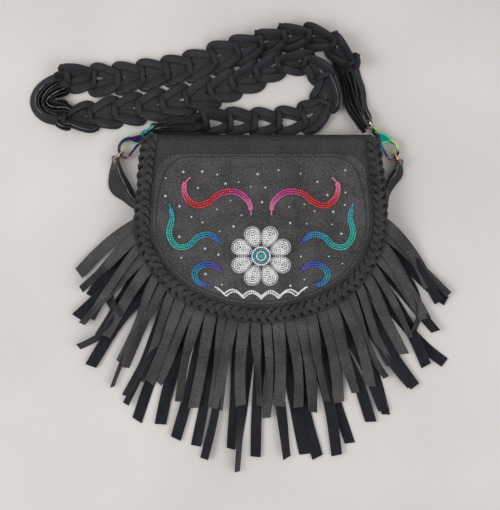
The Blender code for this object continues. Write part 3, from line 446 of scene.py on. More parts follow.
def suede_leather(name, dark, light, raw_edge):
    """Brushed flesh side of leather: matt, with a soft nap."""
    made = Finish(name)
    nap = made.noise(1500.0, 5.0, 0.7)
    brushed = made.noise(210.0, 4.0, 0.6, stretch=(1.0, 0.35, 1.0))
    colour = made.blend((nap * 0.55 + brushed * 0.55).between(0.3, 0.8), dark, light)
    cut = made.mark("cut").between(0.4, 0.95)
    colour = made.blend(cut * 0.6, colour, raw_edge)
    made.set(Base_Color=colour, Roughness=0.92, Specular_IOR_Level=0.2)
    made.set(Sheen_Weight=0.25, Sheen_Roughness=0.5)
    made.bump(nap + brushed * 0.6, 0.3 * MM, 0.6)
    return made.material


RIGHT_HOOK_SLANT = math.radians(52.0)


def rainbow_metal(name):
    """Polished metal with an oil-slick tint and painted highlights: faces turned to the side are painted in
    bright edge colours, faces turned up stay dark.
    """
    made = Finish(name)
    drift = made.noise(60.0, 1.0, 0.4)
    streak = made.noise(110.0, 1.0, 0.4)
    across = made.share(made.place(), "X")
    along = made.share(made.place(), "Y")
    # The hue changes from the left hook to the right, and from the ring's end to the eye's.
    right = across.between(-20 * MM, 20 * MM)
    shoulder = along.between(72 * MM, 92 * MM)
    eye_end = along.between(96 * MM, 100 * MM) * right
    up = made.share(made.add("NewGeometry", out="Normal"), "Z")
    # Painted highlight: faces turned to the side get the bright edge colours.
    edge_highlight_mask = 1.0 - (up * up).between(0.70, 0.995)
    face_hue = drift * 0.55 - 0.12 + right * shoulder * 0.60
    edge_hue = streak * 1.3 - 0.35 + (1.0 - shoulder) * 0.35 + eye_end * 0.45
    # A painted highlight makes the right hook's outer side paler. It lies past a line along the hook.
    from_line = across * math.sin(RIGHT_HOOK_SLANT) + along * math.cos(RIGHT_HOOK_SLANT)
    outer_highlight = from_line.between(157.0 * MM, 161.0 * MM) * right
    face = made.add("ValToRGB", {"stops": (
        (0.00, (0.014, 0.020, 0.090)),
        (0.30, (0.065, 0.016, 0.150)),
        (0.50, (0.012, 0.150, 0.220)),
        (0.72, (0.008, 0.400, 0.290)),
        (1.00, (0.050, 0.520, 0.280)),
    )}, {0: face_hue})
    edge = made.add("ValToRGB", {"stops": (
        (0.00, (0.060, 0.560, 0.620)),
        (0.30, (0.160, 0.700, 0.420)),
        (0.55, (0.780, 0.720, 0.220)),
        (0.78, (0.760, 0.260, 0.340)),
        (1.00, (0.460, 0.060, 0.330)),
    )}, {0: edge_hue})
    worn = made.noise(420.0, 3.0)
    # Painted highlight: the right hook's outer side turns pale gold.
    face = made.blend(outer_highlight, face, (0.74, 0.78, 0.36))
    made.set(Base_Color=made.blend(edge_highlight_mask, face, edge), Metallic=1.0, Roughness=0.10 + 0.10 * worn)
    return made.material


def nickel(name):
    """Brushed nickel."""
    made = Finish(name)
    brushed = made.noise(900.0, 3.0, 0.5, stretch=(1.0, 0.1, 1.0))
    made.set(Base_Color=(0.55, 0.54, 0.52), Metallic=1.0, Roughness=0.22 + 0.18 * brushed)
    made.bump(brushed, 0.05 * MM, 0.4)
    return made.material


def seed_bead_glass(name):
    """Glossy glass seed beads; each bead carries its own colour."""
    made = Finish(name)
    tint = made.add("Attribute", {"attribute_name": "tint"}, out="Color")
    cloud = made.noise(700.0, 2.0)
    colour = made.add("Mix", {"data_type": "RGBA", "blend_type": "MULTIPLY"}, {
        0: 0.5, 6: tint, 7: made.blend(cloud.between(0.3, 0.7), (0.75, 0.75, 0.78), (1.0, 1.0, 1.0)),
    }, out=2)
    made.set(Base_Color=colour, Roughness=0.14, Specular_IOR_Level=0.6)
    made.set(Coat_Weight=0.6, Coat_Roughness=0.06)
    return made.material


def crystal_glass(name):
    """Foil-backed cut glass, as bright as metal."""
    made = Finish(name)
    spark = made.noise(900.0, 2.0)
    colour = made.blend(spark.between(0.35, 0.65), (0.72, 0.76, 0.84), (0.98, 0.97, 0.95))
    made.set(Base_Color=colour, Metallic=0.75, Roughness=0.10 + 0.08 * spark)
    return made.material


def sewing_thread(name, colour):
    """Twisted thread, painted lighter along its ridges as a highlight."""
    made = Finish(name)
    twist = made.noise(3200.0, 2.0, 0.5)
    ridge_highlight = tuple(min(1.0, channel * 2.2) for channel in colour)
    # Painted highlight on the twist's ridges.
    made.set(Base_Color=made.blend(twist, colour, ridge_highlight), Roughness=0.7)
    made.bump(twist, 0.1 * MM, 0.5)
    return made.material


def ground_cloth(name):
    """Plain pale cloth with a faint weave."""
    made = Finish(name)
    weave = made.noise(800.0, 2.0)
    cloud = made.noise(5.0, 2.0)
    tone = (weave * 0.3 + cloud * 0.7).between(0.3, 0.7)
    colour = made.blend(tone, (0.575, 0.555, 0.54), (0.655, 0.635, 0.62))
    made.set(Base_Color=colour, Roughness=0.95, Specular_IOR_Level=0.1)
    made.bump(weave, 0.1 * MM, 0.15)
    return made.material


CHARCOAL = grain_leather(
    "charcoal_grain", dark=(0.0038, 0.0036, 0.0046), light=(0.043, 0.0412, 0.047),
    raw_edge=(0.028, 0.027, 0.028), pebble=640.0,
)
PANEL_SKIN = grain_leather(
    "panel_grain", dark=(0.0085, 0.0078, 0.0085), light=(0.101, 0.0935, 0.0965),
    raw_edge=(0.018, 0.017, 0.017), pebble=640.0, gloss=0.54,
)
LACE_SKIN = grain_leather(
    "lace_grain", dark=(0.003, 0.0030, 0.0038), light=(0.038, 0.0368, 0.042),
    raw_edge=(0.085, 0.080, 0.078), pebble=640.0, gloss=0.38,
)
FRINGE_SKIN = grain_leather(
    "fringe_grain", dark=(0.010, 0.0098, 0.011), light=(0.088, 0.084, 0.088),
    raw_edge=(0.010, 0.010, 0.012), pebble=700.0, gloss=0.46,
)
STRAP_SKIN = grain_leather(
    "strap_grain", dark=(0.0042, 0.0048, 0.0070), light=(0.020, 0.0212, 0.028),
    raw_edge=(0.19, 0.185, 0.18), pebble=800.0,
)
TAB_SKIN = grain_leather(
    "tab_grain", dark=(0.010, 0.0105, 0.012), light=(0.040, 0.040, 0.046),
    raw_edge=(0.17, 0.165, 0.16), pebble=900.0, gloss=0.55,
)
SUEDE = suede_leather(
    "blue_black_suede", dark=(0.0030, 0.0033, 0.0055), light=(0.015, 0.016, 0.023),
    raw_edge=(0.030, 0.030, 0.036),
)
RAINBOW = rainbow_metal("rainbow_metal")
NICKEL = nickel("snap_nickel")
BEADS = seed_bead_glass("seed_beads")
CRYSTAL = crystal_glass("crystals")
THREAD = sewing_thread("black_thread", (0.030, 0.029, 0.030))
# Painted shade: a near-black strip along the panel's seam stands in for a groove.
SEAM_SHADE_STRIP = sewing_thread("seam_painted_shade", (0.004, 0.004, 0.004))
CLOTH = ground_cloth("ground_cloth")


# Building meshes


class Shape:
    """Points and faces of one piece, with what is painted on its points."""

    def __init__(self):
        self.points = []
        self.faces = []
        self.cut = []
        self.tint = []

    def add(self, points, faces, cut=None, tint=None):
        start = len(self.points)
        self.points.extend(points)
        self.faces.extend([tuple(start + i for i in face) for face in faces])
        self.cut.extend(cut if cut is not None else [0.0] * len(points))
        self.tint.extend([tint if tint is not None else (0.5, 0.5, 0.5)] * len(points))

    def tube(self, rings, cut=None):
        """A skin through rings of points, closed at both ends; cut is each ring place's raw edge."""
        count = len(rings[0])
        faces = []
        for r in range(len(rings) - 1):
            a, b = r * count, (r + 1) * count
            for i in range(count):
                j = (i + 1) % count
                faces.append((a + i, a + j, b + j, b + i))
        faces.append(tuple(reversed(range(count))))
        faces.append(tuple(range((len(rings) - 1) * count, len(rings) * count)))
        flat = [p for ring in rings for p in ring]
        self.add(flat, faces, (cut or [0.0] * count) * len(rings))

    def piece(self, name, skin, body, slot, *nodes, sharp=50.0):
        """Make the piece's object, on its body and in place of its nodes; slot is not used."""
        mesh = bpy.data.meshes.new(name)
        mesh.from_pydata([tuple(p) for p in self.points], [], self.faces)
        mesh.update()
        if any(self.cut):
            mesh.attributes.new("cut", "FLOAT", "POINT").data.foreach_set("value", self.cut)
        if skin is BEADS:
            colours = np.ones((len(self.tint), 4), dtype=np.float32)
            colours[:, :3] = self.tint
            mesh.attributes.new("tint", "FLOAT_COLOR", "POINT").data.foreach_set("color", colours.ravel())
        made = bpy.data.objects.new(name, mesh)
        bpy.context.scene.collection.objects.link(made)
        outward(made)
        mesh.shade_smooth()
        mesh.set_sharp_from_angle(angle=math.radians(sharp))
        mesh.materials.append(skin)
        if body:
            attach(made, body)
        if nodes:
            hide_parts(*nodes)
        return made


def outward(made):
    """Turn every closed shell's faces out."""
    bm = bmesh.new()
    bm.from_mesh(made.data)
    bmesh.ops.recalc_face_normals(bm, faces=bm.faces)
    bm.to_mesh(made.data)
    bm.free()


STRIP_SECTION = (
    (-1.00, 0.0), (-0.94, 0.85), (-0.45, 1.0), (0.0, 1.0), (0.45, 1.0), (0.94, 0.85),
    (1.00, 0.0), (0.94, -0.85), (0.45, -1.0), (0.0, -1.0), (-0.45, -1.0), (-0.94, -0.85),
)
# How raw each point of the section looks
STRIP_CUT = [1.0, 0.35, 0.0, 0.0, 0.0, 0.35, 1.0, 0.35, 0.0, 0.0, 0.0, 0.35]


def strip_section(centre, side, up, half_width, half_thickness, cup=0.0):
    """Rounded section of a leather strip; its second half is the underside."""
    ring = []
    for across, over in STRIP_SECTION:
        rise = half_thickness * over + cup * across * across
        ring.append(centre + side * (half_width * across) + up * rise)
    return ring


def round_section(centre, side, up, radius, sides):
    """Circle of points about a centre."""
    ring = []
    for i in range(sides):
        angle = 2.0 * math.pi * i / sides
        ring.append(centre + side * (radius * math.cos(angle)) + up * (radius * math.sin(angle)))
    return ring


def leather_sheet(shape, cut, height, thickness, columns, straight_rows, round_rows, lead=()):
    """A sheet with a rounded edge that follows a cut; lead rows come before its top."""
    rows = list(lead)
    for y in cut.rows(straight_rows, round_rows):
        half = cut.half_width(y)
        rows.append((lambda u, y=y, half=half: Vector((u * half, y, height(u * half, y))), UP))
    over, under = [], []
    for place, way in rows:
        for c in range(columns + 1):
            # The columns stand closer together towards both edges.
            even = 2.0 * c / columns - 1.0
            middle = place(math.sin(0.5 * math.pi * even) * 0.35 + even * 0.65)
            edge = 0.55 if c in (0, columns) else 1.0
            over.append(middle + way * (thickness / 2 * edge))
            under.append(middle - way * (thickness / 2 * edge))
    width = columns + 1
    count = len(over)
    faces = []
    for r in range(len(rows) - 1):
        for c in range(columns):
            a = r * width + c
            faces.append((a, a + width, a + width + 1, a + 1))
            faces.append((count + a, count + a + 1, count + a + width + 1, count + a + width))
        for a in (r * width, r * width + columns):
            faces.append((a, count + a, count + a + width, a + width))
    for r in (0, len(rows) - 1):
        for c in range(columns):
            a = r * width + c
            faces.append((a, a + 1, count + a + 1, count + a))
    shape.add(over + under, faces)


# One stitch: (along it, thickness, rise)
STITCH_PROFILE = ((-0.5, 0.3, -0.2), (-0.38, 0.9, 0.2), (0.0, 1.0, 0.5), (0.38, 0.9, 0.2), (0.5, 0.3, -0.2))


def stitches(shape, trail, height):
    """Short raised threads along a seam."""
    count = int(trail.length / STITCH_PITCH)
    for i in range(count):
        place = (i + 0.5) * trail.length / count
        point = trail.at(place)
        heading = trail.heading(place)
        side = Vector((-heading.y, heading.x, 0.0))
        rings = []
        for share, size, rise in STITCH_PROFILE:
            x = point.x + heading.x * share * STITCH_LENGTH
            y = point.y + heading.y * share * STITCH_LENGTH
            centre = Vector((x, y, height(x, y) + rise * STITCH_RADIUS))
            rings.append(round_section(centre, side, UP, STITCH_RADIUS * size, 6))
        shape.tube(rings)


# Body of the bag


TURN_STEPS = 8
EDGE_CLEAR = 0.2 * MM


def back_panel():
    """The back, its rise over the mouth, and the land under the flap's fold."""
    middle = PANEL_LEATHER / 2
    fold_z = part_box("back_panel")[1][2] - PANEL_LEATHER / 2
    wall_y = FOLD_Y - middle
    corner_y = FOLD_Y - BACK_CORNER_RADIUS
    quarter = [math.radians(90.0 * i / TURN_STEPS) for i in range(TURN_STEPS, -1, -1)]
    turns = []
    for angle in quarter:
        y = wall_y - FOLD_RADIUS * (1.0 - math.cos(angle))
        turns.append((y, fold_z - FOLD_RADIUS + FOLD_RADIUS * math.sin(angle), angle + math.pi / 2))
    for angle in quarter[:-1]:
        y = corner_y + (wall_y - corner_y) * math.sin(angle)
        turns.append((y, middle + BACK_CORNER_RADIUS * (1.0 - math.cos(angle)), angle))
    base = BODY.half_width(corner_y)
    lead = []
    for y, z, angle in turns:
        half = mix(base, FLAP.top_half, smooth((z - middle) / (fold_z - middle))) - EDGE_CLEAR
        way = Vector((0.0, -math.sin(angle), math.cos(angle)))
        lead.append((lambda u, y=y, z=z, half=half: Vector((u * half, y, z)), way))
    shape = Shape()
    leather_sheet(
        shape, BODY.inset(0.0, corner_y), lambda x, y: middle, PANEL_LEATHER,
        columns=48, straight_rows=16, round_rows=34, lead=lead,
    )
    shape.piece("back_leather", CHARCOAL, "bag", "grain_leather", "back_panel")


def front_panel():
    """The front, rounded up in its middle, with the thread of its seam."""
    cut = BODY.inset(0.0, FOLD_Y - FRONT_BELOW_FOLD)

    def height(x, y):
        return FRONT_UNDERSIDE + PANEL_LEATHER / 2 + crown(x, y)

    shape = Shape()
    leather_sheet(shape, cut, height, PANEL_LEATHER, columns=56, straight_rows=14, round_rows=40)
    shape.piece("front_leather", CHARCOAL, "bag", "grain_leather", "front_panel")
    seam = Trail(cut.inset(FRONT_SEAM_INSET).edge(FOLD_Y - FRONT_SEAM_BELOW_FOLD))
    thread = Shape()
    stitches(thread, seam, lambda x, y: height(x, y) + PANEL_LEATHER / 2)
    thread.piece("front_seam_thread", THREAD, "bag", "grain_leather")


GUSSET_LEATHER = 1.6 * MM
GUSSET_BOW = 1.1 * MM
GUSSET_STATIONS = 150
GUSSET_ROWS = 5


def gusset():
    """The side wall, bowed out slightly between its seams."""
    low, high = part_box("gusset")[0][2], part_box("gusset")[1][2]
    trail = Trail(BODY.inset(SEAM_ALLOWANCE).edge(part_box("gusset")[1][1]))
    rings = []
    for i in range(GUSSET_STATIONS + 1):
        place = trail.length * i / GUSSET_STATIONS
        point, heading = trail.at(place), trail.heading(place)
        out = Vector((heading.y, -heading.x, 0.0))
        ring = []
        upward = range(GUSSET_ROWS + 1)
        for face, rows in ((0.0, upward), (-GUSSET_LEATHER, reversed(upward))):
            for k in rows:
                z = mix(low, high, k / GUSSET_ROWS)
                bow = GUSSET_BOW * math.sin(math.pi * k / GUSSET_ROWS) * (1.0 + 0.4 * math.sin(i * 0.31))
                ring.append(Vector((point.x, point.y, z)) + out * (face + bow))
        rings.append(ring)
    shape = Shape()
    shape.tube(rings)
    shape.piece("gusset_leather", CHARCOAL, "bag", "grain_leather", "gusset")


# The snap's turned outline: (radius, height) in shares of its radius and height
SNAP_PROFILE = (
    (1.0, 0.0), (1.0, 0.45), (0.96, 0.72), (0.88, 0.86), (0.74, 0.82),
    (0.66, 0.62), (0.30, 0.60), (0.22, 0.78), (0.04, 0.80),
)
SNAP_HEIGHT_SHARE = 0.92


def turned(centre, radius, height, profile, sides, turn=0.0):
    """Rings of a part turned round an upright axis."""
    side = Vector((math.cos(turn), math.sin(turn), 0))
    across = Vector((-math.sin(turn), math.cos(turn), 0))
    return [round_section(centre + UP * (height * z), side, across, radius * r, sides) for r, z in profile]


def magnetic_snap():
    """The plain nickel halves of the snap, turned, with a rolled rim."""
    for node, body, facing in (("snap_socket", "bag", 1.0), ("snap_stud", "flap", -1.0)):
        low, high = (Vector(corner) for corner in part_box(node))
        height = SNAP_HEIGHT_SHARE * (high.z - low.z)
        base = (low + high) / 2 - UP * (facing * height / 2)
        shape = Shape()
        shape.tube(turned(base, (high.x - low.x) / 2, facing * height, SNAP_PROFILE, 40))
        shape.piece(node + "_turned", NICKEL, body, "snap_metal", node)


# Flap


def across_fold(made):
    """Bake the piece's placement into its points."""
    top = flap_height(0.0, HINGE_Y)
    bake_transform(made)


FLAP_ROOT_Z = 9.0 * MM
WALL_ROWS = 5
FOLD_ROWS = 9
WALL_OVERHANG = 0.4 * MM


def flap_leather():
    """One leather from the mouth's wall, over the fold and down to the laced edge."""
    top = flap_height(0.0, HINGE_Y)
    wall_y, radius = FLAP_WALL_Y, FLAP_FOLD_RADIUS
    base = BODY.half_width(FOLD_Y - BACK_CORNER_RADIUS)
    lead = []
    for i in range(WALL_ROWS):
        z = mix(FLAP_ROOT_Z, top - radius, i / WALL_ROWS)
        half = mix(base, FLAP.top_half, smooth(z / top)) + WALL_OVERHANG
        lead.append((lambda u, z=z, half=half: Vector((u * half, wall_y, z)), Vector((0, 1, 0))))
    for i in range(FOLD_ROWS + 1):
        angle = math.radians(90.0 * i / FOLD_ROWS)
        y = wall_y - radius * (1.0 - math.cos(angle))
        z = top - radius + radius * math.sin(angle)
        way = Vector((0.0, math.cos(angle), math.sin(angle)))
        lead.append((lambda u, y=y, z=z: Vector((u * FLAP.top_half, y, z + ripple(u * 0.1, y) * 0.5)), way))
    shape = Shape()
    leather_sheet(
        shape, FLAP, flap_height, FLAP_LEATHER, columns=88, straight_rows=34, round_rows=54, lead=lead,
    )
    made = shape.piece("flap_leather", CHARCOAL, None, "grain_leather", "flap")
    across_fold(made)


# The seam lies on a thin dark strip, painted shade that stands in for a groove.
SHADE_STRIP_HALF_WIDTH = 0.85 * MM
SHADE_STRIP_HALF_THICKNESS = 0.16 * MM
SHADE_STRIP_SINK = 0.1 * MM
SHADE_STRIP_STEP = 2.5 * MM


def bead_panel():
    """The applied panel with its sewn edge."""

    def height(x, y):
        return flap_top(x, y) + PANEL_GAP + BEAD_PANEL_LEATHER / 2

    shape = Shape()
    leather_sheet(shape, PANEL, height, BEAD_PANEL_LEATHER, columns=72, straight_rows=40, round_rows=46)
    shape.piece("bead_panel_leather", PANEL_SKIN, "flap", "grain_leather", "beaded_panel")
    seam_cut = PANEL.inset(PANEL_SEAM_INSET, PANEL.top_y - PANEL_SEAM_INSET, corner=17.5 * MM)
    seam_top = seam_cut.top_y - 0.05 * MM
    across = seam_cut.half_width(seam_top)
    top_points = [Vector((mix(-across, across, i / 60), seam_cut.top_y)) for i in range(61)]
    thread, shade_strip = Shape(), Shape()
    for seam in (Trail(seam_cut.edge(seam_top)), Trail(top_points)):
        stitches(thread, seam, panel_top)
        # Under each seam's stitches lies a thin dark strip of painted shade.
        rings = []
        steps = round(seam.length / SHADE_STRIP_STEP)
        for i in range(steps + 1):
            place = seam.length * i / steps
            point, heading = seam.at(place), seam.heading(place)
            side = Vector((heading.y, -heading.x, 0.0))
            centre = Vector((point.x, point.y, panel_top(point.x, point.y) - SHADE_STRIP_SINK))
            rings.append(strip_section(centre, side, UP, SHADE_STRIP_HALF_WIDTH, SHADE_STRIP_HALF_THICKNESS))
        shade_strip.tube(rings)
    thread.piece("bead_panel_thread", THREAD, "flap", "grain_leather")
    shade_strip.piece("bead_panel_painted_shade", SEAM_SHADE_STRIP, "flap", "grain_leather")


LACES = 3
PLAIT_LENGTH = 25.0 * MM
PLAIT_STATIONS = 22
PLAIT_SWAY = 5.1 * MM
LACE_HALF_WIDTH = 3.0 * MM
LACE_HALF_THICKNESS = 0.6 * MM
LACE_STEP = 0.6 * MM
# The lace that binds the edge below the plait: (outward, height) in mm
BINDING_SECTION = (
    (-6, -1.1), (0, -1.2), (4.8, -0.8), (6.1, 0.2), (5.4, 1.2),
    (6.1, -0.2), (5.4, -1.7), (0, -2.5), (-6, -2.3),
)
BINDING_STATIONS = 400
BINDING_WRAP = 8.0 * MM


def edge_lacing():
    """Three flat laces braided along the flap's edge, over a lace that binds it below."""
    trail = Trail(FLAP.edge(FOLD_Y - 0.5 * MM))
    turns = round(trail.length / PLAIT_LENGTH)
    stations = turns * PLAIT_STATIONS
    turn = 2.0 * math.pi * turns * LACE_STEP / trail.length
    rng = random.Random(5)
    uneven = [rng.uniform(0.82, 1.12) for _ in range(turns * LACES + 4)]

    def spot(place, phase):
        """A lace's place: it sways across the edge and rises over its neighbour twice a turn."""
        point, heading = trail.at(place), trail.heading(place)
        out = Vector((heading.y, -heading.x))
        crossing = place / trail.length * turns * LACES
        pull, later = (uneven[(int(crossing) + k) % len(uneven)] for k in (0, 1))
        sway = PLAIT_SWAY * mix(pull, later, smooth(crossing % 1.0)) * math.sin(phase) + 0.4 * MM
        x, y = point.x + out.x * sway, point.y + out.y * sway
        rise = 2.2 * MM + 1.15 * MM * math.sin(2.0 * phase) - 0.4 * MM * math.cos(2.0 * phase)
        drop = max(0.0, math.sin(phase)) ** 3 * 2.4 * MM
        return Vector((x, y, flap_height(x, y) - fold_drop(y) + rise - drop))

    shape = Shape()
    for strand in range(LACES):
        rings = []
        for i in range(stations + 1):
            place = trail.length * i / stations
            phase = 2.0 * math.pi * (turns * i / stations + strand / LACES)
            here = spot(place, phase)
            way = spot(place + LACE_STEP, phase + turn) - spot(place - LACE_STEP, phase - turn)
            way.normalize()
            side = way.cross(UP).normalized()
            up = side.cross(way)
            tilt = 0.40 * math.sin(phase) + 0.15 * math.sin(0.7 * i)
            c, s = math.cos(tilt), math.sin(tilt)
            width = LACE_HALF_WIDTH * (1.0 + 0.16 * math.sin(0.37 * i + 2.0 * strand))
            ring = strip_section(
                here, side * c + up * s, up * c - side * s, width, LACE_HALF_THICKNESS, cup=-0.1 * MM,
            )
            rings.append(ring)
        shape.tube(rings, cut=[share * 0.8 for share in STRIP_CUT])
    rings = []
    for i in range(BINDING_STATIONS + 1):
        place = trail.length * i / BINDING_STATIONS
        point, heading = trail.at(place), trail.heading(place)
        lump = 0.4 * MM * math.sin(2.0 * math.pi * place / BINDING_WRAP)
        ring = []
        for outward_by, over in BINDING_SECTION:
            reach = outward_by * MM + lump * (outward_by > 3)
            x, y = point.x + heading.y * reach, point.y - heading.x * reach
            ring.append(Vector((x, y, flap_height(x, y) - fold_drop(y) + over * MM)))
        rings.append(ring)
    shape.tube(rings)
    made = shape.piece("edge_braid", LACE_SKIN, None, "lace_leather", "flap_lacing")
    across_fold(made)


# Beadwork


def bead_template(sides, bands):
    """One seed bead along X, as points and faces: a fat ring with closed ends."""
    points, faces = [], []
    for k in range(bands):
        t = -1.0 + 2.0 * k / (bands - 1)
        radius = BEAD_RADIUS * (1.0 - abs(t) ** 3 * 0.55)
        for i in range(sides):
            angle = 2.0 * math.pi * i / sides
            points.append((t * BEAD_LENGTH / 2, radius * math.cos(angle), radius * math.sin(angle)))
    for k in range(bands - 1):
        for i in range(sides):
            j = (i + 1) % sides
            faces.append((k * sides + i, k * sides + j, (k + 1) * sides + j, (k + 1) * sides + i))
    faces.append(tuple(reversed(range(sides))))
    faces.append(tuple(range((bands - 1) * sides, bands * sides)))
    return np.array(points), faces


BEAD_POINTS, BEAD_FACES = bead_template(sides=8, bands=5)
BEAD_SEAT = 0.88
bead_rng = random.Random(21)


def bead(shape, x, y, angle, tint, size=1.0):
    """One bead on the panel, lying along an angle."""
    angle += bead_rng.uniform(-0.06, 0.06)
    size *= bead_rng.uniform(0.95, 1.04)
    c, s = math.cos(angle), math.sin(angle)
    turn = np.array(((c, s, 0.0), (-s, c, 0.0), (0.0, 0.0, 1.0)))
    z = panel_top(x, y) + BEAD_RADIUS * size * BEAD_SEAT
    points = BEAD_POINTS @ turn * size + np.array((x, y, z))
    shade = bead_rng.uniform(0.82, 1.12)
    shape.add(points.tolist(), BEAD_FACES, tint=tuple(min(1.0, channel * shade) for channel in tint))


def bead_row(shape, trail, colour_at):
    """Beads end to end along a trail."""
    count = max(1, int(trail.length / BEAD_PITCH))
    for i in range(count):
        place = (i + 0.5) * trail.length / count
        point, heading = trail.at(place), trail.heading(place)
        bead(shape, point.x, point.y, math.atan2(heading.y, heading.x), colour_at(place / trail.length))


def colour_run(*stops):
    """A colour that drifts through evenly spaced stops."""

    def at(t):
        t = min(max(t, 0.0), 0.9999) * (len(stops) - 1)
        low = int(t)
        return tuple(mix(a, b, t - low) for a, b in zip(stops[low], stops[low + 1]))

    return at


PEARL = (0.82, 0.81, 0.80)
SILVER = (0.42, 0.44, 0.48)
PINK = (0.72, 0.20, 0.42)
MAGENTA = (0.50, 0.04, 0.24)
RED = (0.58, 0.02, 0.03)
TEAL = (0.03, 0.42, 0.36)
TURQUOISE = (0.02, 0.30, 0.42)
BLUE = (0.02, 0.09, 0.45)
PURPLE = (0.12, 0.04, 0.32)

ROSETTE_Y = -26.0 * MM
ROSETTE_RADIUS = 32.0 * MM
ROSETTE_PETALS = 8
PETAL_ROWS = 5
PETAL_MIDDLE = 20.5 * MM
PETAL_HALF_LENGTH = 9.9 * MM
PETAL_HALF_WIDTH = 7.4 * MM
HEART_ROWS = ((2.2, TEAL), (4.4, PEARL), (6.6, TURQUOISE), (8.8, PEARL))

# The right-hand vines: (x, y, half width) in mm
VINES = {
    "upper": (
        (10, 14, 1.2), (12, 27, 2.2), (24, 37, 2.9), (40, 36, 3.2), (52, 27, 3.0),
        (64, 24, 2.8), (74, 32, 2.4), (76, 44, 1.8), (70, 52, 1.2),
    ),
    "side": (
        (39, -14, 1.2), (50, -5, 2.6), (62, -7, 3.2), (72, -16, 3.2),
        (84, -16, 3.0), (91, -4, 2.6), (88, 12, 2.2), (91, 26, 1.2),
    ),
    "lower": ((38, -42, 1.2), (47, -35, 2.4), (58, -35, 2.8), (66, -43, 2.8), (61, -53, 2.2), (51, -54, 1.3)),
}
VINE_COLOURS = {
    "upper": colour_run(PINK, MAGENTA, RED, RED, PINK),
    "side": colour_run(BLUE, TURQUOISE, TEAL, TEAL, TURQUOISE),
    "lower": colour_run(PURPLE, BLUE, TURQUOISE, BLUE),
}


def rosette():
    """A flower sewn in rings of pearl beads, its petals edged with silver."""
    shape = Shape()
    for petal in range(ROSETTE_PETALS):
        axis = 2.0 * math.pi * (petal + 0.5) / ROSETTE_PETALS
        for row in range(PETAL_ROWS):
            size = 1.0 - row * 0.22
            outline = []
            for i in range(41):
                t = 2.0 * math.pi * i / 40
                along = PETAL_MIDDLE + size * PETAL_HALF_LENGTH * math.cos(t)
                across = size * PETAL_HALF_WIDTH * math.sin(t) * (1.0 + 0.25 * math.cos(t))
                x = along * math.cos(axis) - across * math.sin(axis)
                y = ROSETTE_Y + along * math.sin(axis) + across * math.cos(axis)
                outline.append(Vector((x, y)))
            tone = PEARL if row else SILVER
            bead_row(shape, Trail(outline), lambda t, tone=tone: tone)
    for radius, tone in HEART_ROWS:
        circle = []
        for i in range(37):
            t = 2.0 * math.pi * i / 36
            circle.append(Vector((radius * MM * math.cos(t), ROSETTE_Y + radius * MM * math.sin(t))))
        bead_row(shape, Trail(circle), lambda t, tone=tone: tone)
    bead(shape, 0.0, ROSETTE_Y, 0.0, TEAL, 1.3)
    shape.piece("pearl_rosette", BEADS, "flap", "pearl_beads", "bead_rosette")


VINE_STEPS = 120
VINE_ONE_ROW = 1.6 * MM
VINE_FULL = 2.6 * MM


def vines():
    """Curling ribbons of three rows of beads that taper to one."""
    slots = {"upper": "magenta_beads", "side": "teal_beads", "lower": "blue_beads"}
    for kind, points in VINES.items():
        for hand, suffix in ((1, "right"), (-1, "left")):
            curve = smooth_curve([Vector((hand * x * MM, y * MM, half * MM)) for x, y, half in points], 10)
            middle = Trail([Vector((p.x, p.y)) for p in curve])
            widths = Trail([Vector((float(m), p.z)) for m, p in zip(middle.marks, curve)])
            shape = Shape()
            for row in (-1, 0, 1):
                path = []
                for i in range(VINE_STEPS + 1):
                    place = middle.length * i / VINE_STEPS
                    heading = middle.heading(place)
                    half = widths.at(place).y
                    if row and half < VINE_ONE_ROW:
                        continue
                    point = middle.at(place)
                    offset = row * BEAD_ROW * min(1.0, half / VINE_FULL)
                    path.append(point + Vector((-heading.y, heading.x)) * offset)
                if len(path) > 2:
                    bead_row(shape, Trail(path), VINE_COLOURS[kind])
            name = "vine_" + kind + "_" + suffix
            shape.piece(name, BEADS, "flap", slots[kind], "bead_" + name)


def garland():
    """A low pearl garland of scallops under the flower."""
    shape = Shape()
    for row in (0, 1):
        path = []
        for i in range(121):
            t = 2.0 * i / 120 - 1.0
            y = (-66.0 + 5.5 * abs(math.sin(2.5 * math.pi * t)) + 4.0 * t * t - row * 2.2) * MM
            path.append(Vector((46 * MM * t * (1.0 - 0.06 * row), y)))
        bead_row(shape, Trail(path), lambda t: PEARL)
    shape.piece("pearl_garland", BEADS, "flap", "pearl_beads", "bead_border")


CRYSTALS = 46
CRYSTAL_TRIES = 4000
CRYSTAL_FROM_BEADS = 7.0 * MM
CRYSTALS_APART = 12.0 * MM
# A cut crystal's outline: (radius, height) in shares of its radius
CRYSTAL_PROFILE = ((1.0, 0.0), (1.0, 0.25), (0.55, 0.75))


def crystals():
    """Small cut crystals scattered over the panel, clear of the beads."""
    rng = random.Random(9)
    taken = [Vector((0.0, ROSETTE_Y))]
    for points in VINES.values():
        for hand in (1, -1):
            taken.extend(smooth_curve([Vector((hand * x * MM, y * MM)) for x, y, _ in points], 6))
    placed = []
    shape = Shape()
    tries = 0
    while len(placed) < CRYSTALS and tries < CRYSTAL_TRIES:
        tries += 1
        x, y = rng.uniform(-95, 95) * MM, rng.uniform(-70, 62) * MM
        spot = Vector((x, y))
        near_edge = PANEL.outside(x, y) > -9 * MM or y > 60 * MM
        on_garland = y < -56 * MM and abs(x) < 52 * MM
        on_rosette = math.hypot(x, y - ROSETTE_Y) < ROSETTE_RADIUS + 5 * MM
        near_beads = any((spot - other).length < CRYSTAL_FROM_BEADS for other in taken)
        crowded = any((spot - other).length < CRYSTALS_APART for other in placed)
        if near_edge or on_garland or on_rosette or near_beads or crowded:
            continue
        placed.append(spot)
        radius = rng.choice((1.0, 1.2, 1.5)) * MM
        base = Vector((x, y, panel_top(x, y) - 0.05 * MM))
        shape.tube(turned(base, radius, radius, CRYSTAL_PROFILE, 8, turn=rng.uniform(0.0, 0.8)))
    shape.piece("crystals", CRYSTAL, "flap", "pearl_beads", sharp=12.0)


# Fringe


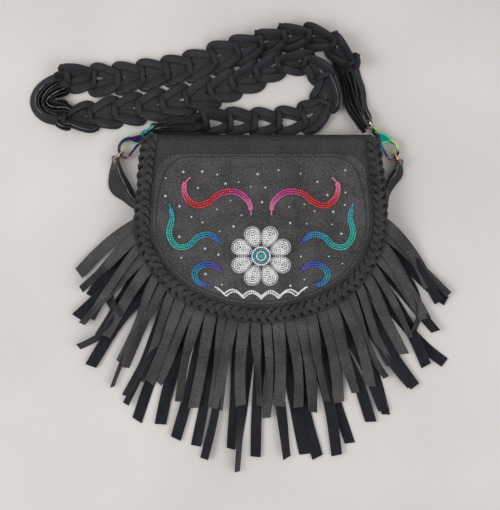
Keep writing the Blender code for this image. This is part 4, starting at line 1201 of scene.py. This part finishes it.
FRINGE_STEPS = 30
FRINGE_SECTION = (
    (-1.0, 0.0), (-0.93, 0.9), (-0.4, 1.0), (0.4, 1.0), (0.93, 0.9),
    (1.0, 0.0), (0.93, -0.9), (0.4, -1.0), (-0.4, -1.0), (-0.93, -0.9),
)
FRINGE_CUT = [1.0, 0.3, 0.0, 0.0, 0.3, 1.0, 0.3, 0.0, 0.0, 0.3]
HEADER_HALF_WIDTH = 3.2 * MM
HEADER_STEPS = 60


def fringe_strip(shape, point, lean, length, height, look, rng):
    """One limp strip: it settles towards straight down, wanders, twists and may curl at its end."""
    spread = abs(lean) / (math.pi / 2)
    settle = mix(FAN_SHARE_MIDDLE, FAN_SHARE_SIDE, spread) + rng.uniform(-0.06, 0.06)
    drift = rng.uniform(-0.13, 0.13)
    wander = rng.uniform(-0.12, 0.12)
    slant = rng.uniform(-0.30, 0.30)
    roll = rng.uniform(-0.25, 0.25)
    step = length / FRINGE_STEPS
    rings = []
    for s in range(FRINGE_STEPS + 1):
        t = s / FRINGE_STEPS
        angle = -math.pi / 2 + lean * mix(settle + FAN_SHARE_ROOT, settle, smooth(t * 1.5))
        angle += drift * t + wander * math.sin(5.0 * t) + look["curl"] * smooth((t - 0.35) / 0.65) * t
        heading = Vector((math.cos(angle), math.sin(angle)))
        if s:
            point = point + heading * step
        side = Vector((-heading.y, heading.x))
        turn = roll * smooth(t) + look["twist"] * smooth((t - look["twist_from"]) / 0.4)
        level, stand = math.cos(turn), math.sin(turn)
        width = look["width"] * (1.0 - 0.05 * t) * (1.0 + 0.03 * math.sin(9.0 * t + look["lift"]))
        rise = look["lift"] * smooth(t * 8.0) + abs(stand) * width
        rise += 0.5 * MM * math.sin(7.0 * t + length * 900) * t
        ring = []
        for across, over in FRINGE_SECTION:
            thick = over * FRINGE_LEATHER / 2
            out = width * across * level - thick * stand
            end = slant * across * width if s == FRINGE_STEPS else 0.0
            x = point.x + side.x * out + heading.x * end
            y = point.y + side.y * out + heading.y * end
            cup = 0.45 * MM * across * across * t
            z = height(x, y) + rise + width * across * stand + thick * level + cup
            ring.append(Vector((x, y, max(z, 0.35 * MM + over * 0.3 * MM))))
        rings.append(ring)
    shape.tube(rings, cut=FRINGE_CUT)


def fringe_tier(nodes, cut, body, slot, skin, height, length_at, curls, seed):
    """Leather strips cut from a header, fanned out and lying over one another."""
    rng = random.Random(seed)
    trail = Trail(cut.edge(FRINGE_START_Y))
    total = round(trail.length / FRINGE_PITCH)
    third = total // 3
    bounds = (0, third, total - third, total)
    for name, first, last in zip(nodes, bounds, bounds[1:]):
        shape = Shape()
        header = []
        for i in range(HEADER_STEPS + 1):
            place = trail.length * mix(first / total, last / total, i / HEADER_STEPS)
            point, heading = trail.at(place), trail.heading(place)
            out = Vector((heading.y, -heading.x, 0.0))
            x, y = point.x - out.x * HEADER_HALF_WIDTH, point.y - out.y * HEADER_HALF_WIDTH
            centre = Vector((x, y, height(x, y)))
            header.append(strip_section(centre, out, UP, HEADER_HALF_WIDTH, FRINGE_LEATHER / 2))
        shape.tube(header)
        for i in range(first, last):
            middle = trail.length * (i + 0.5) / total
            tangent = trail.heading(middle)
            normal_angle = math.atan2(-tangent.x, tangent.y)
            lean = (normal_angle + 1.5 * math.pi) % (2 * math.pi) - math.pi
            length = length_at(abs(lean) / (math.pi / 2)) * rng.uniform(0.88, 1.05)
            look = {
                "lift": LAYER_LIFT * (i % 3),
                "width": STRIP_WIDTH / 2 * rng.choice((0.80, 0.95, 1.0, 1.04, 1.08)),
                "twist": rng.choice((0.0, 0.0, 0.0, 0.9, -0.9)) * rng.uniform(0.6, 1.2),
                "twist_from": rng.uniform(0.15, 0.6),
                "curl": curls.get(i, 0.0),
            }
            fringe_strip(shape, trail.at(middle), lean, length, height, look, rng)
        shape.piece(name + "_strips", skin, body, slot, name)


def fringes():
    """Both tiers. A strip's length depends on its spread, from 0 straight down to 1 sideways."""
    upper = ("upper_fringe_left", "upper_fringe_centre", "upper_fringe_right")
    lower = ("lower_fringe_left", "lower_fringe_centre", "lower_fringe_right")
    fringe_tier(
        upper, FLAP, "flap", "grain_leather", FRINGE_SKIN, upper_height,
        lambda spread: (101 - 8 * spread**2) * MM, {2: 0.35, 9: -0.3, 24: 0.3, 31: -0.35}, 3,
    )
    fringe_tier(
        lower, BODY, "bag", "suede_leather", SUEDE, lower_height,
        lambda spread: (134 - 26 * spread**2) * MM, {1: 1.5, 4: -0.5, 27: 0.4, 30: -1.3}, 8,
    )


# Strap

STRAP_HALF_WIDTH = 15.6 * MM
STRAP_HALF_THICKNESS = 4.3 * MM
STRAP_END_HALF_WIDTH = 6.5 * MM
STRAP_TAPER = 35.0 * MM
LINK_PITCH = 24.7 * MM
# From the right hook to the left: (x, y above the fold, roll in degrees), lengths in mm
STRAP_ROUTE = (
    (97.5, 37.0, -72), (93.5, 56.0, -58), (87.0, 76.0, -50), (72.0, 93.0, -48), (50.0, 101.0, -42),
    (25.0, 100.5, -38), (-4.0, 93.0, -30), (-34.0, 85.0, -18), (-64.0, 76.0, 0), (-94.0, 69.0, 0),
    (-124.0, 64.5, 0), (-154.0, 61.0, 0), (-179.0, 61.0, -15), (-202.0, 58.0, -50), (-218.0, 49.0, -78),
    (-224.0, 37.0, -82), (-217.0, 26.0, -75), (-200.0, 22.0, -45), (-176.0, 23.0, -12), (-146.0, 28.5, 0),
    (-116.0, 32.5, 0), (-86.0, 37.5, 0), (-56.0, 45.5, 5), (-29.0, 54.5, 20), (-3.0, 64.0, 32),
    (20.0, 73.5, 40), (41.0, 76.0, 45), (57.0, 69.0, 45), (64.0, 53.0, 40), (62.0, 37.0, 20),
    (52.0, 25.0, 5), (35.0, 19.0, 0), (10.0, 17.5, 0), (-16.0, 17.5, 0), (-42.0, 16.5, -18),
    (-64.0, 14.5, -52), (-83.0, 14.5, -72),
)
STRAP_END_ROLL = -88
HEADING_REACH = 4 * MM
LOOP_REACH = 8.3 * MM
EYE_TO_BAR = 5.5 * MM
# Stations of the route between which the left turn's links stop and its leaves lie, and from
# which the strap is stretched
TURN_LINKS_STOP = (13.2, 16.8)
TURN_LEAVES_LIE = (12.4, 17.6)
STRETCHED_FROM = 30.3
STRAP_NODES = (
    "strap_right_run", "strap_top_run", "strap_left_turn",
    "strap_middle_run", "strap_right_turn", "strap_low_run",
)


class HookLine:
    """Where a hook's eye, the bar in it and the ring's bar are, read from the joints."""

    def __init__(self, side):
        joints = {joint["name"]: joint for joint in frame["joints"]}
        swivel = joints["hook_swivel_" + side]
        self.hand = 1 if side == "right" else -1
        self.eye = Vector(swivel["pos_m"])
        self.eye_bar = self.eye - Vector(swivel["axis"]).normalized() * EYE_TO_BAR
        self.ring_bar = Vector(joints["ring_swing_" + side]["pos_m"])


HOOKS = {side: HookLine(side) for side in ("right", "left")}


def loop_way(side):
    """Way from a hook's eye to the nearest end of the strap's route."""
    x, above_fold, _ = STRAP_ROUTE[0 if side == "right" else -1]
    bar = HOOKS[side].eye_bar
    return Vector((x * MM - bar.x, FOLD_Y + above_fold * MM - bar.y, 0.0)).normalized()


class StrapLine:
    """The strap's middle line, with its section at each place."""

    def __init__(self):
        ends = {side: HOOKS[side].eye_bar + loop_way(side) * LOOP_REACH for side in HOOKS}
        # The third value is the roll, scaled like the lengths.
        route = [Vector((ends["right"].x, ends["right"].y, STRAP_END_ROLL * MM))]
        route += [Vector((x * MM, FOLD_Y + y * MM, roll * MM)) for x, y, roll in STRAP_ROUTE]
        route.append(Vector((ends["left"].x, ends["left"].y, STRAP_END_ROLL * MM)))
        curve = smooth_curve(route)
        self.trail = Trail([Vector((p.x, p.y)) for p in curve])
        self.rolls = [p.z / MM for p in curve]
        self.length = self.trail.length
        self.turn_links = [self.mark(station) for station in TURN_LINKS_STOP]
        self.turn_leaves = [self.mark(station) for station in TURN_LEAVES_LIE]

    def mark(self, station):
        """Place of a station of the route, counted from 0 and with shares between stations."""
        marks = self.trail.marks
        return float(np.interp((station + 1) * SPAN_STEPS, np.arange(len(marks)), marks))

    def braided(self, place):
        """Whether links show: not at the gathered ends, nor where the left turn stands on edge."""
        if not RIGHT_GATHER <= place <= self.length - LEFT_GATHER:
            return False
        return not self.turn_links[0] < place < self.turn_links[1]

    def plan(self, place):
        """Point and heading on the ground plan, also a little beyond the ends."""
        inside = min(max(place, 0.0), self.length)
        heading = self.trail.heading(inside, HEADING_REACH)
        return self.trail.at(inside) + heading * (place - inside), heading

    def frame(self, place):
        """Centre, side, up and half width; the strap rests on its low edge."""
        point = self.trail.at(place)
        heading = self.trail.heading(place, HEADING_REACH)
        roll = math.radians(float(np.interp(place, self.trail.marks, self.rolls)))
        left = Vector((-heading.y, heading.x, 0.0))
        side = left * math.cos(roll) + UP * math.sin(roll)
        up = Vector((heading.x, heading.y, 0.0)).cross(side)
        from_end = min(place, self.length - place)
        half = mix(STRAP_END_HALF_WIDTH, STRAP_HALF_WIDTH, smooth(from_end / STRAP_TAPER))
        lowest = half * abs(math.sin(roll)) + STRAP_HALF_THICKNESS * abs(math.cos(roll))
        height = mix(HOOKS["right"].eye.z, lowest + GAP, smooth(from_end / STRAP_TAPER))
        return Vector((point.x, point.y, max(height, lowest + GAP))), side, up, half


# One link's arm and its cross bar: (along the strap, across, height), in shares of the pitch,
# the half width and the half thickness
LINK_ARM = (
    (-0.16, 0.18, -0.80), (-0.02, 0.27, -0.42), (0.16, 0.37, 0.02), (0.36, 0.49, 0.34), (0.56, 0.60, 0.48),
    (0.74, 0.67, 0.38), (0.90, 0.69, 0.04), (1.03, 0.60, -0.50), (1.14, 0.44, -1.00),
)
LINK_BAR = (
    (1.10, -0.78, -1.05), (1.03, -0.68, -0.25), (0.96, -0.44, 0.48), (0.94, 0.0, 0.76),
    (0.96, 0.44, 0.48), (1.03, 0.68, -0.25), (1.10, 0.78, -1.05),
)
# Lengths at the strap's ends where its links are drawn together
RIGHT_GATHER = 46 * MM
LEFT_GATHER = 34 * MM
# How far the drawn leaves reach in under the links, and out over the hooks' eyes
UNDER_RIGHT_LINKS = 26 * MM
UNDER_LEFT_LINKS = 14 * MM
OVER_HOOK = 4 * MM
# Half thicknesses of a link's upper and lower strips
TOP_PLY = 0.75 * MM
LOW_PLY = 0.70 * MM
# How raw each point of a strip's section looks where one of its cut edges shows
PALE_RIGHT = [0.15, 0.0, 0.0, 0.0, 0.0, 0.45, 1.0, 0.6, 0.0, 0.0, 0.0, 0.0]
PALE_LEFT = PALE_RIGHT[6::-1] + [0.0, 0.0, 0.0, 0.0, 0.6]
FAINT_RIGHT = [0.45 * share for share in PALE_RIGHT]
# Slack links spread wider than stretched ones, and their cross bars sink between the arms.
SLACK_SPREAD = 1.10
SLACK_BAR_DROP = 2.5 * MM


class LinkStrip:
    """How one leather strip of a link lies: its width, shift, lean and which cut edge shows."""

    def __init__(self, half_share, thickness, *, shift=0.0, drop=0.0, lean=0.0, cut=None):
        self.half_share = half_share
        self.thickness = thickness
        self.shift = shift
        self.drop = drop
        self.lean = lean
        self.cut = cut or [0.0] * 12

    def lay(self, shape, line, start, pitch, path, jitter):
        """Lay the strip along its path, where the strap is braided."""
        sideways, slew, tip, fat = jitter
        run = []
        for a, c, h in smooth_curve([Vector(p) for p in path], 3):
            place = (start + a + slew * c) * pitch
            if line.braided(place):
                centre, side, up, half = line.frame(place)
                across = half * (c + sideways + self.shift)
                spot = centre + side * across + up * (STRAP_HALF_THICKNESS * (h + tip * c) - self.drop)
                spot.z = max(spot.z, 2 * self.thickness)
                run.append((spot, up, half))
        if len(run) < 5:
            return
        rings = []
        for i, (spot, up, half) in enumerate(run):
            ahead, behind = run[min(i + 1, len(run) - 1)][0], run[max(i - 1, 0)][0]
            way = (ahead - behind).normalized()
            side = way.cross(up).normalized()
            over = side.cross(way)
            side = side * math.cos(self.lean) + over * math.sin(self.lean)
            over = side.cross(way)
            end = min(1.0, 0.55 + 0.15 * min(i, len(run) - 1 - i))
            width = half * self.half_share * fat * end
            rings.append(strip_section(spot, side, over, width, self.thickness, cup=-0.75 * MM))
        shape.tube(rings, cut=self.cut)


def gathered_leaves(shape, line, near, far, count, gaps, leans, half_width, rng, *, shift, stagger=0.0):
    """Strips side by side that lean on one another, where links are drawn together or stand on edge."""
    at_hook = near < 0.0 or near > line.length
    for number in range(count):
        phase, wave = rng.uniform(0.0, 6.28), rng.uniform(0.4, 1.1) * MM
        period = rng.uniform(7.0, 13.0) * MM
        size = half_width * rng.uniform(0.80, 1.20)
        slip = rng.uniform(-0.7, 0.7) * MM
        tilt = rng.uniform(-9.0, 9.0)
        start = near + math.copysign(stagger * number / (count - 1), near - far)
        length = abs(far - start)
        steps = int(length / (2.5 * MM))
        rings = []
        for i in range(steps + 1):
            t = i / steps
            place = mix(start, far, t)
            point, heading = line.plan(place)
            left = Vector((-heading.y, heading.x, 0.0))
            gap = mix(gaps[0], gaps[1], smooth(t * 2.0))
            lean = math.radians(mix(leans[0], leans[1], smooth(t * 1.4)) + tilt)
            tuck = smooth((1.0 - t) * length / (12 * MM))
            if not at_hook:
                tuck = min(tuck, smooth(t * length / (12 * MM)))
            across = left * math.cos(lean) + UP * math.sin(lean)
            half = size * mix(0.45, 1.0, tuck) * mix(0.6, 1.0, smooth(t * length / (6 * MM)))
            rest = half * math.sin(lean) + 1.2 * MM
            from_end = max(0.0, min(place, line.length - place))
            height = max(rest, mix(HOOKS["right"].eye.z, rest, smooth(from_end / STRAP_TAPER)))
            offset = (number - (count - 1) / 2) * gap + shift + slip
            offset += wave * math.sin(phase + place / period)
            offset *= mix(0.5, 1.0, tuck)
            centre = Vector((point.x, point.y, height)) + left * offset
            face = across.cross(Vector((heading.x, heading.y, 0.0)))
            rings.append(strip_section(centre, across, face, half, TOP_PLY, cup=-0.5 * MM))
        shape.tube(rings, cut=FAINT_RIGHT if at_hook or number % 2 else PALE_RIGHT)


def braided_strap():
    """Interlinked leather loops: each link's arms start under the cross bar of the link behind."""
    line = StrapLine()
    total = round(line.length / LINK_PITCH)
    pitch = line.length / total
    rng = random.Random(14)
    shape = Shape()
    bar = LinkStrip(0.165, TOP_PLY)
    slack_bar = LinkStrip(0.165, TOP_PLY, drop=SLACK_BAR_DROP)
    for link in range(-1, total + 1):
        start = link + 0.25 + rng.uniform(-0.04, 0.04)
        # The low run is stretched, so its links stand open.
        stretched = (start + 0.5) * pitch > line.mark(STRETCHED_FROM)
        heading = line.plan((start + 0.5) * pitch)[1]
        for hand in (-1, 1):
            jitter = [rng.uniform(-reach, reach) for reach in (0.05, 0.05, 0.12)]
            jitter.append(rng.uniform(0.94, 1.08))
            spread = hand * (1.0 if stretched else SLACK_SPREAD)
            arm = [(a, c * spread, h) for a, c, h in LINK_ARM]
            # The side of each run that faces the bag is worn, and its cut edges show.
            worn = hand * heading.x < 0.0
            edge = PALE_LEFT if hand > 0 else PALE_RIGHT
            if stretched:
                shift = hand * (0.03 if worn else -0.24)
                layers = [LinkStrip(0.30, TOP_PLY), LinkStrip(0.30, LOW_PLY, shift=shift, drop=2.2 * MM)]
            else:
                # Slack links have closed up, so their doubled strips fill the middle.
                lean = -0.30 * hand if worn else 0.0
                top_edge = edge if worn else None
                layers = [
                    LinkStrip(0.255, TOP_PLY, shift=0.03 * hand, lean=lean, cut=top_edge),
                    LinkStrip(0.34, LOW_PLY, shift=-0.33 * hand, drop=3.3 * MM),
                ]
                if worn:
                    outer = LinkStrip(
                        0.32, LOW_PLY, shift=0.13 * hand, drop=2.4 * MM, lean=-0.15 * hand, cut=edge,
                    )
                    layers.append(outer)
            for layer in layers:
                layer.lay(shape, line, start, pitch, arm, jitter)
        jitter = (rng.uniform(-0.05, 0.05), rng.uniform(-0.05, 0.05), 0.0, rng.uniform(0.9, 1.2))
        (bar if stretched else slack_bar).lay(shape, line, start, pitch, LINK_BAR, jitter)
    gathered_leaves(
        shape, line, -OVER_HOOK, RIGHT_GATHER + UNDER_RIGHT_LINKS, count=6, gaps=(2.4 * MM, 3.8 * MM),
        leans=(60, 56), half_width=5.4 * MM, rng=rng, stagger=11 * MM, shift=2.6 * MM,
    )
    gathered_leaves(
        shape, line, line.length + OVER_HOOK, line.length - LEFT_GATHER - UNDER_LEFT_LINKS,
        count=4, gaps=(2.8 * MM, 4.3 * MM), leans=(50, 12), half_width=5.0 * MM, rng=rng,
        stagger=6 * MM, shift=1.5 * MM,
    )
    gathered_leaves(
        shape, line, *line.turn_leaves, count=7, gaps=(3.2 * MM, 3.2 * MM),
        leans=(58, 58), half_width=5.2 * MM, rng=rng, shift=3.2 * MM,
    )
    shape.piece("linked_strap", STRAP_SKIN, "bag", "strap_leather", *STRAP_NODES)


def hairpin_rings(bar, way, reach, half_width, thickness, inner):
    """A strip folded round an upright bar."""
    middle = inner + thickness / 2
    side = Vector((-way.y, way.x, 0.0))
    rings = []
    for i in range(6):
        back = mix(reach, 0.0, i / 6)
        rings.append(strip_section(bar + way * back + side * middle, UP, side, half_width, thickness / 2))
    for i in range(17):
        angle = math.pi * i / 16
        out = side * math.cos(angle) - way * math.sin(angle)
        rings.append(strip_section(bar + out * middle, UP, out, half_width, thickness / 2))
    for i in range(1, 7):
        back = mix(0.0, reach, i / 6)
        rings.append(strip_section(bar + way * back - side * middle, UP, -side, half_width, thickness / 2))
    return rings


def strap_loops():
    """The leather loops that hold the strap to the hooks' eyes."""
    for side, hook in HOOKS.items():
        rings = hairpin_rings(
            hook.eye_bar, loop_way(side), LOOP_REACH + 5 * MM,
            half_width=5.5 * MM, thickness=1.6 * MM, inner=1.8 * MM,
        )
        shape = Shape()
        shape.tube(rings, cut=STRIP_CUT)
        shape.piece("strap_end_" + side, STRAP_SKIN, "bag", "strap_leather", "strap_loop_" + side)


# Hardware


def cast(node, body, voxel=0.32 * MM, rounds=6):
    """The solid's own shape with its corners rounded, as polished castings have."""
    source = frame["nodes"][node]
    made = bpy.data.objects.new(node + "_polished", source.data.copy())
    bpy.context.scene.collection.objects.link(made)
    remesh = made.modifiers.new("remesh", "REMESH")
    remesh.mode = "VOXEL"
    remesh.voxel_size = voxel
    soften = made.modifiers.new("soften", "SMOOTH")
    soften.factor = 0.5
    soften.iterations = rounds
    graph = bpy.context.evaluated_depsgraph_get()
    finished = bpy.data.meshes.new_from_object(made.evaluated_get(graph))
    made.modifiers.clear()
    made.data = finished
    finished.materials.clear()
    finished.materials.append(RAINBOW)
    finished.shade_smooth()
    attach(made, body)
    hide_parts(node)


# A gate pin's outline: (radius, height) in shares of its radius and half height
PIN_PROFILE = ((0.8, -1.0), (1.0, -0.9), (1.0, 0.9), (0.8, 1.0))


def hardware():
    """The rainbow metal: hooks, gates with their pins, eyes and rings."""
    for side in HOOKS:
        hook = "snap_hook_" + side
        cast("hook_" + side, hook)
        cast("gate_" + side, "hook_gate_" + side, voxel=0.22 * MM, rounds=3)
        cast("swivel_eye_" + side, "bag")
        cast("d_ring_" + side, "tab_ring_" + side)
        node = "gate_pin_" + side
        low, high = (Vector(corner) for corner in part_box(node))
        pin = Shape()
        pin.tube(turned((low + high) / 2, (high.x - low.x) / 2, (high.z - low.z) / 2, PIN_PROFILE, 20))
        pin.piece(node + "_turned", RAINBOW, hook, "oil_slick_metal", node)


# Each tab's way from the seam to its ring, and back: (x outward, y, height, lean, half width),
# lengths in mm and the lean in degrees
TAB_OUT = {
    "left": (
        (120.0, 19.5, 9.0, 82, 5.9), (128.5, 24.5, 8.5, 70, 6.3), (137.5, 33.5, 7.6, 52, 7.0),
        (146.0, 44.0, 6.0, 14, 7.9), (149.2, 58.0, 8.0, 52, 7.0),
    ),
    "right": (
        (119.0, 18.5, 9.0, 84, 5.9), (126.3, 25.0, 8.5, 78, 5.9), (127.8, 37.0, 8.0, 64, 6.0),
        (131.5, 47.5, 7.0, 34, 6.4), (138.0, 57.5, 8.0, 24, 6.4),
    ),
}
TAB_BACK = {
    "left": (
        (141.5, 60.0, 9.5, 76, 5.9), (134.5, 46.0, 9.0, 68, 5.9),
        (126.5, 32.0, 9.0, 72, 5.9), (115.0, 29.0, 9.5, 84, 5.9),
    ),
    "right": (
        (135.0, 58.5, 9.5, 82, 5.9), (127.0, 47.0, 9.0, 80, 5.9),
        (124.4, 33.0, 9.0, 80, 5.9), (113.0, 29.5, 9.5, 84, 5.9),
    ),
}
TAB_ROOT_Y = 21.5 * MM
TAB_RETURN_Y = 30.5 * MM
TAB_END_HALF_WIDTH = 5.9 * MM
TAB_HALF_THICKNESS = 0.8 * MM
TAB_WRAP_RADIUS = 2.6 * MM
TAB_WRAP_STEPS = 12
TAB_SPAN_STEPS = 6
UPRIGHT = 90


def side_tabs():
    """Each tab leaves the side seam, opens out, rounds the D-ring's bar and returns."""
    root_x = BODY.inset(SEAM_ALLOWANCE).half_width(TAB_ROOT_Y) + GAP
    for side, hook in HOOKS.items():
        hand, bar = hook.hand, hook.ring_bar

        def station(x, y, z, lean, half):
            return Vector((hand * x * MM, y * MM, z * MM)), lean, half * MM

        def root(y):
            return Vector((hand * root_x, y, hook.eye.z)), UPRIGHT, TAB_END_HALF_WIDTH

        way = (station(*TAB_OUT[side][-1])[0] - bar).normalized()
        way.z = 0.0
        out = Vector((-way.y, way.x, 0.0)) * hand
        wrap = []
        for i in range(TAB_WRAP_STEPS + 1):
            angle = math.pi * i / TAB_WRAP_STEPS
            spot = bar + (out * math.cos(angle) - way * math.sin(angle)) * TAB_WRAP_RADIUS
            wrap.append((spot, UPRIGHT, TAB_END_HALF_WIDTH))
        path = []
        for run in (
            [root(TAB_ROOT_Y)] + [station(*s) for s in TAB_OUT[side]] + wrap[:1],
            wrap,
            wrap[-1:] + [station(*s) for s in TAB_BACK[side]] + [root(TAB_RETURN_Y)],
        ):
            per_span = 1 if run is wrap else TAB_SPAN_STEPS
            spots = smooth_curve([p for p, _, _ in run], per_span)
            looks = smooth_curve([Vector((lean, half, 0.0)) for _, lean, half in run], per_span)
            path += list(zip(spots, looks))[1 if path else 0:]
        rings = []
        for i, (spot, look) in enumerate(path):
            ahead, behind = path[min(i + 1, len(path) - 1)][0], path[max(i - 1, 0)][0]
            heading = (ahead - behind).normalized()
            level = heading.cross(UP).normalized() * -hand
            stand = math.radians(look.x)
            width_way = level * math.cos(stand) + UP * math.sin(stand)
            face_way = width_way.cross(heading).normalized()
            rings.append(strip_section(spot, width_way, face_way, look.y, TAB_HALF_THICKNESS))
        shape = Shape()
        shape.tube(rings, cut=PALE_RIGHT)
        shape.piece("side_tab_leather_" + side, TAB_SKIN, "bag", "suede_leather", "side_tab_" + side)


# Stage


GROUND_REACH = 3.0
# Name, place, size and power of each light
LAMPS = (("window", (-0.9, -0.1, 1.3), 0.9, 9.4), ("room", (0.9, -0.5, 1.5), 1.4, 8.8))


def stage():
    """Pale cloth, a soft room and two round lights."""
    mesh = bpy.data.meshes.new("ground")
    corners = ((-1, -1), (1, -1), (1, 1), (-1, 1))
    mesh.from_pydata([(x * GROUND_REACH, y * GROUND_REACH, 0) for x, y in corners], [], [(0, 1, 2, 3)])
    ground = bpy.data.objects.new("ground", mesh)
    mesh.materials.append(CLOTH)
    bpy.context.scene.collection.objects.link(ground)
    scene = bpy.context.scene
    scene.view_settings.view_transform = "Standard"
    world = bpy.data.worlds.new("soft_room")
    world.use_nodes = True
    sky = world.node_tree.nodes["Background"]
    sky.inputs["Color"].default_value = (1.0, 0.985, 0.97, 1.0)
    sky.inputs["Strength"].default_value = 0.62
    scene.world = world
    for name, place, size, power in LAMPS:
        light = bpy.data.lights.new(name, "AREA")
        light.shape = "DISK"
        light.size = size
        light.energy = power
        lamp = bpy.data.objects.new(name, light)
        lamp.location = place
        lamp.rotation_euler = (Vector((0, 0, 0)) - Vector(place)).to_track_quat("-Z", "Y").to_euler()
        scene.collection.objects.link(lamp)


def camera():
    """Straight above, at a scale of one photograph pixel to a millimetre."""
    data = bpy.data.cameras.new("camera")
    data.sensor_width = SENSOR_MM
    data.lens = SENSOR_MM * CAMERA_HEIGHT / PHOTO_LONG_SIDE
    made = bpy.data.objects.new("camera", data)
    made.location = VIEW_CENTRE + UP * CAMERA_HEIGHT
    bpy.context.scene.collection.objects.link(made)
    bpy.context.scene.camera = made


camera()
stage()
back_panel()
front_panel()
gusset()
magnetic_snap()
flap_leather()
bead_panel()
edge_lacing()
rosette()
vines()
garland()
crystals()
fringes()
braided_strap()
strap_loops()
hardware()
side_tabs()
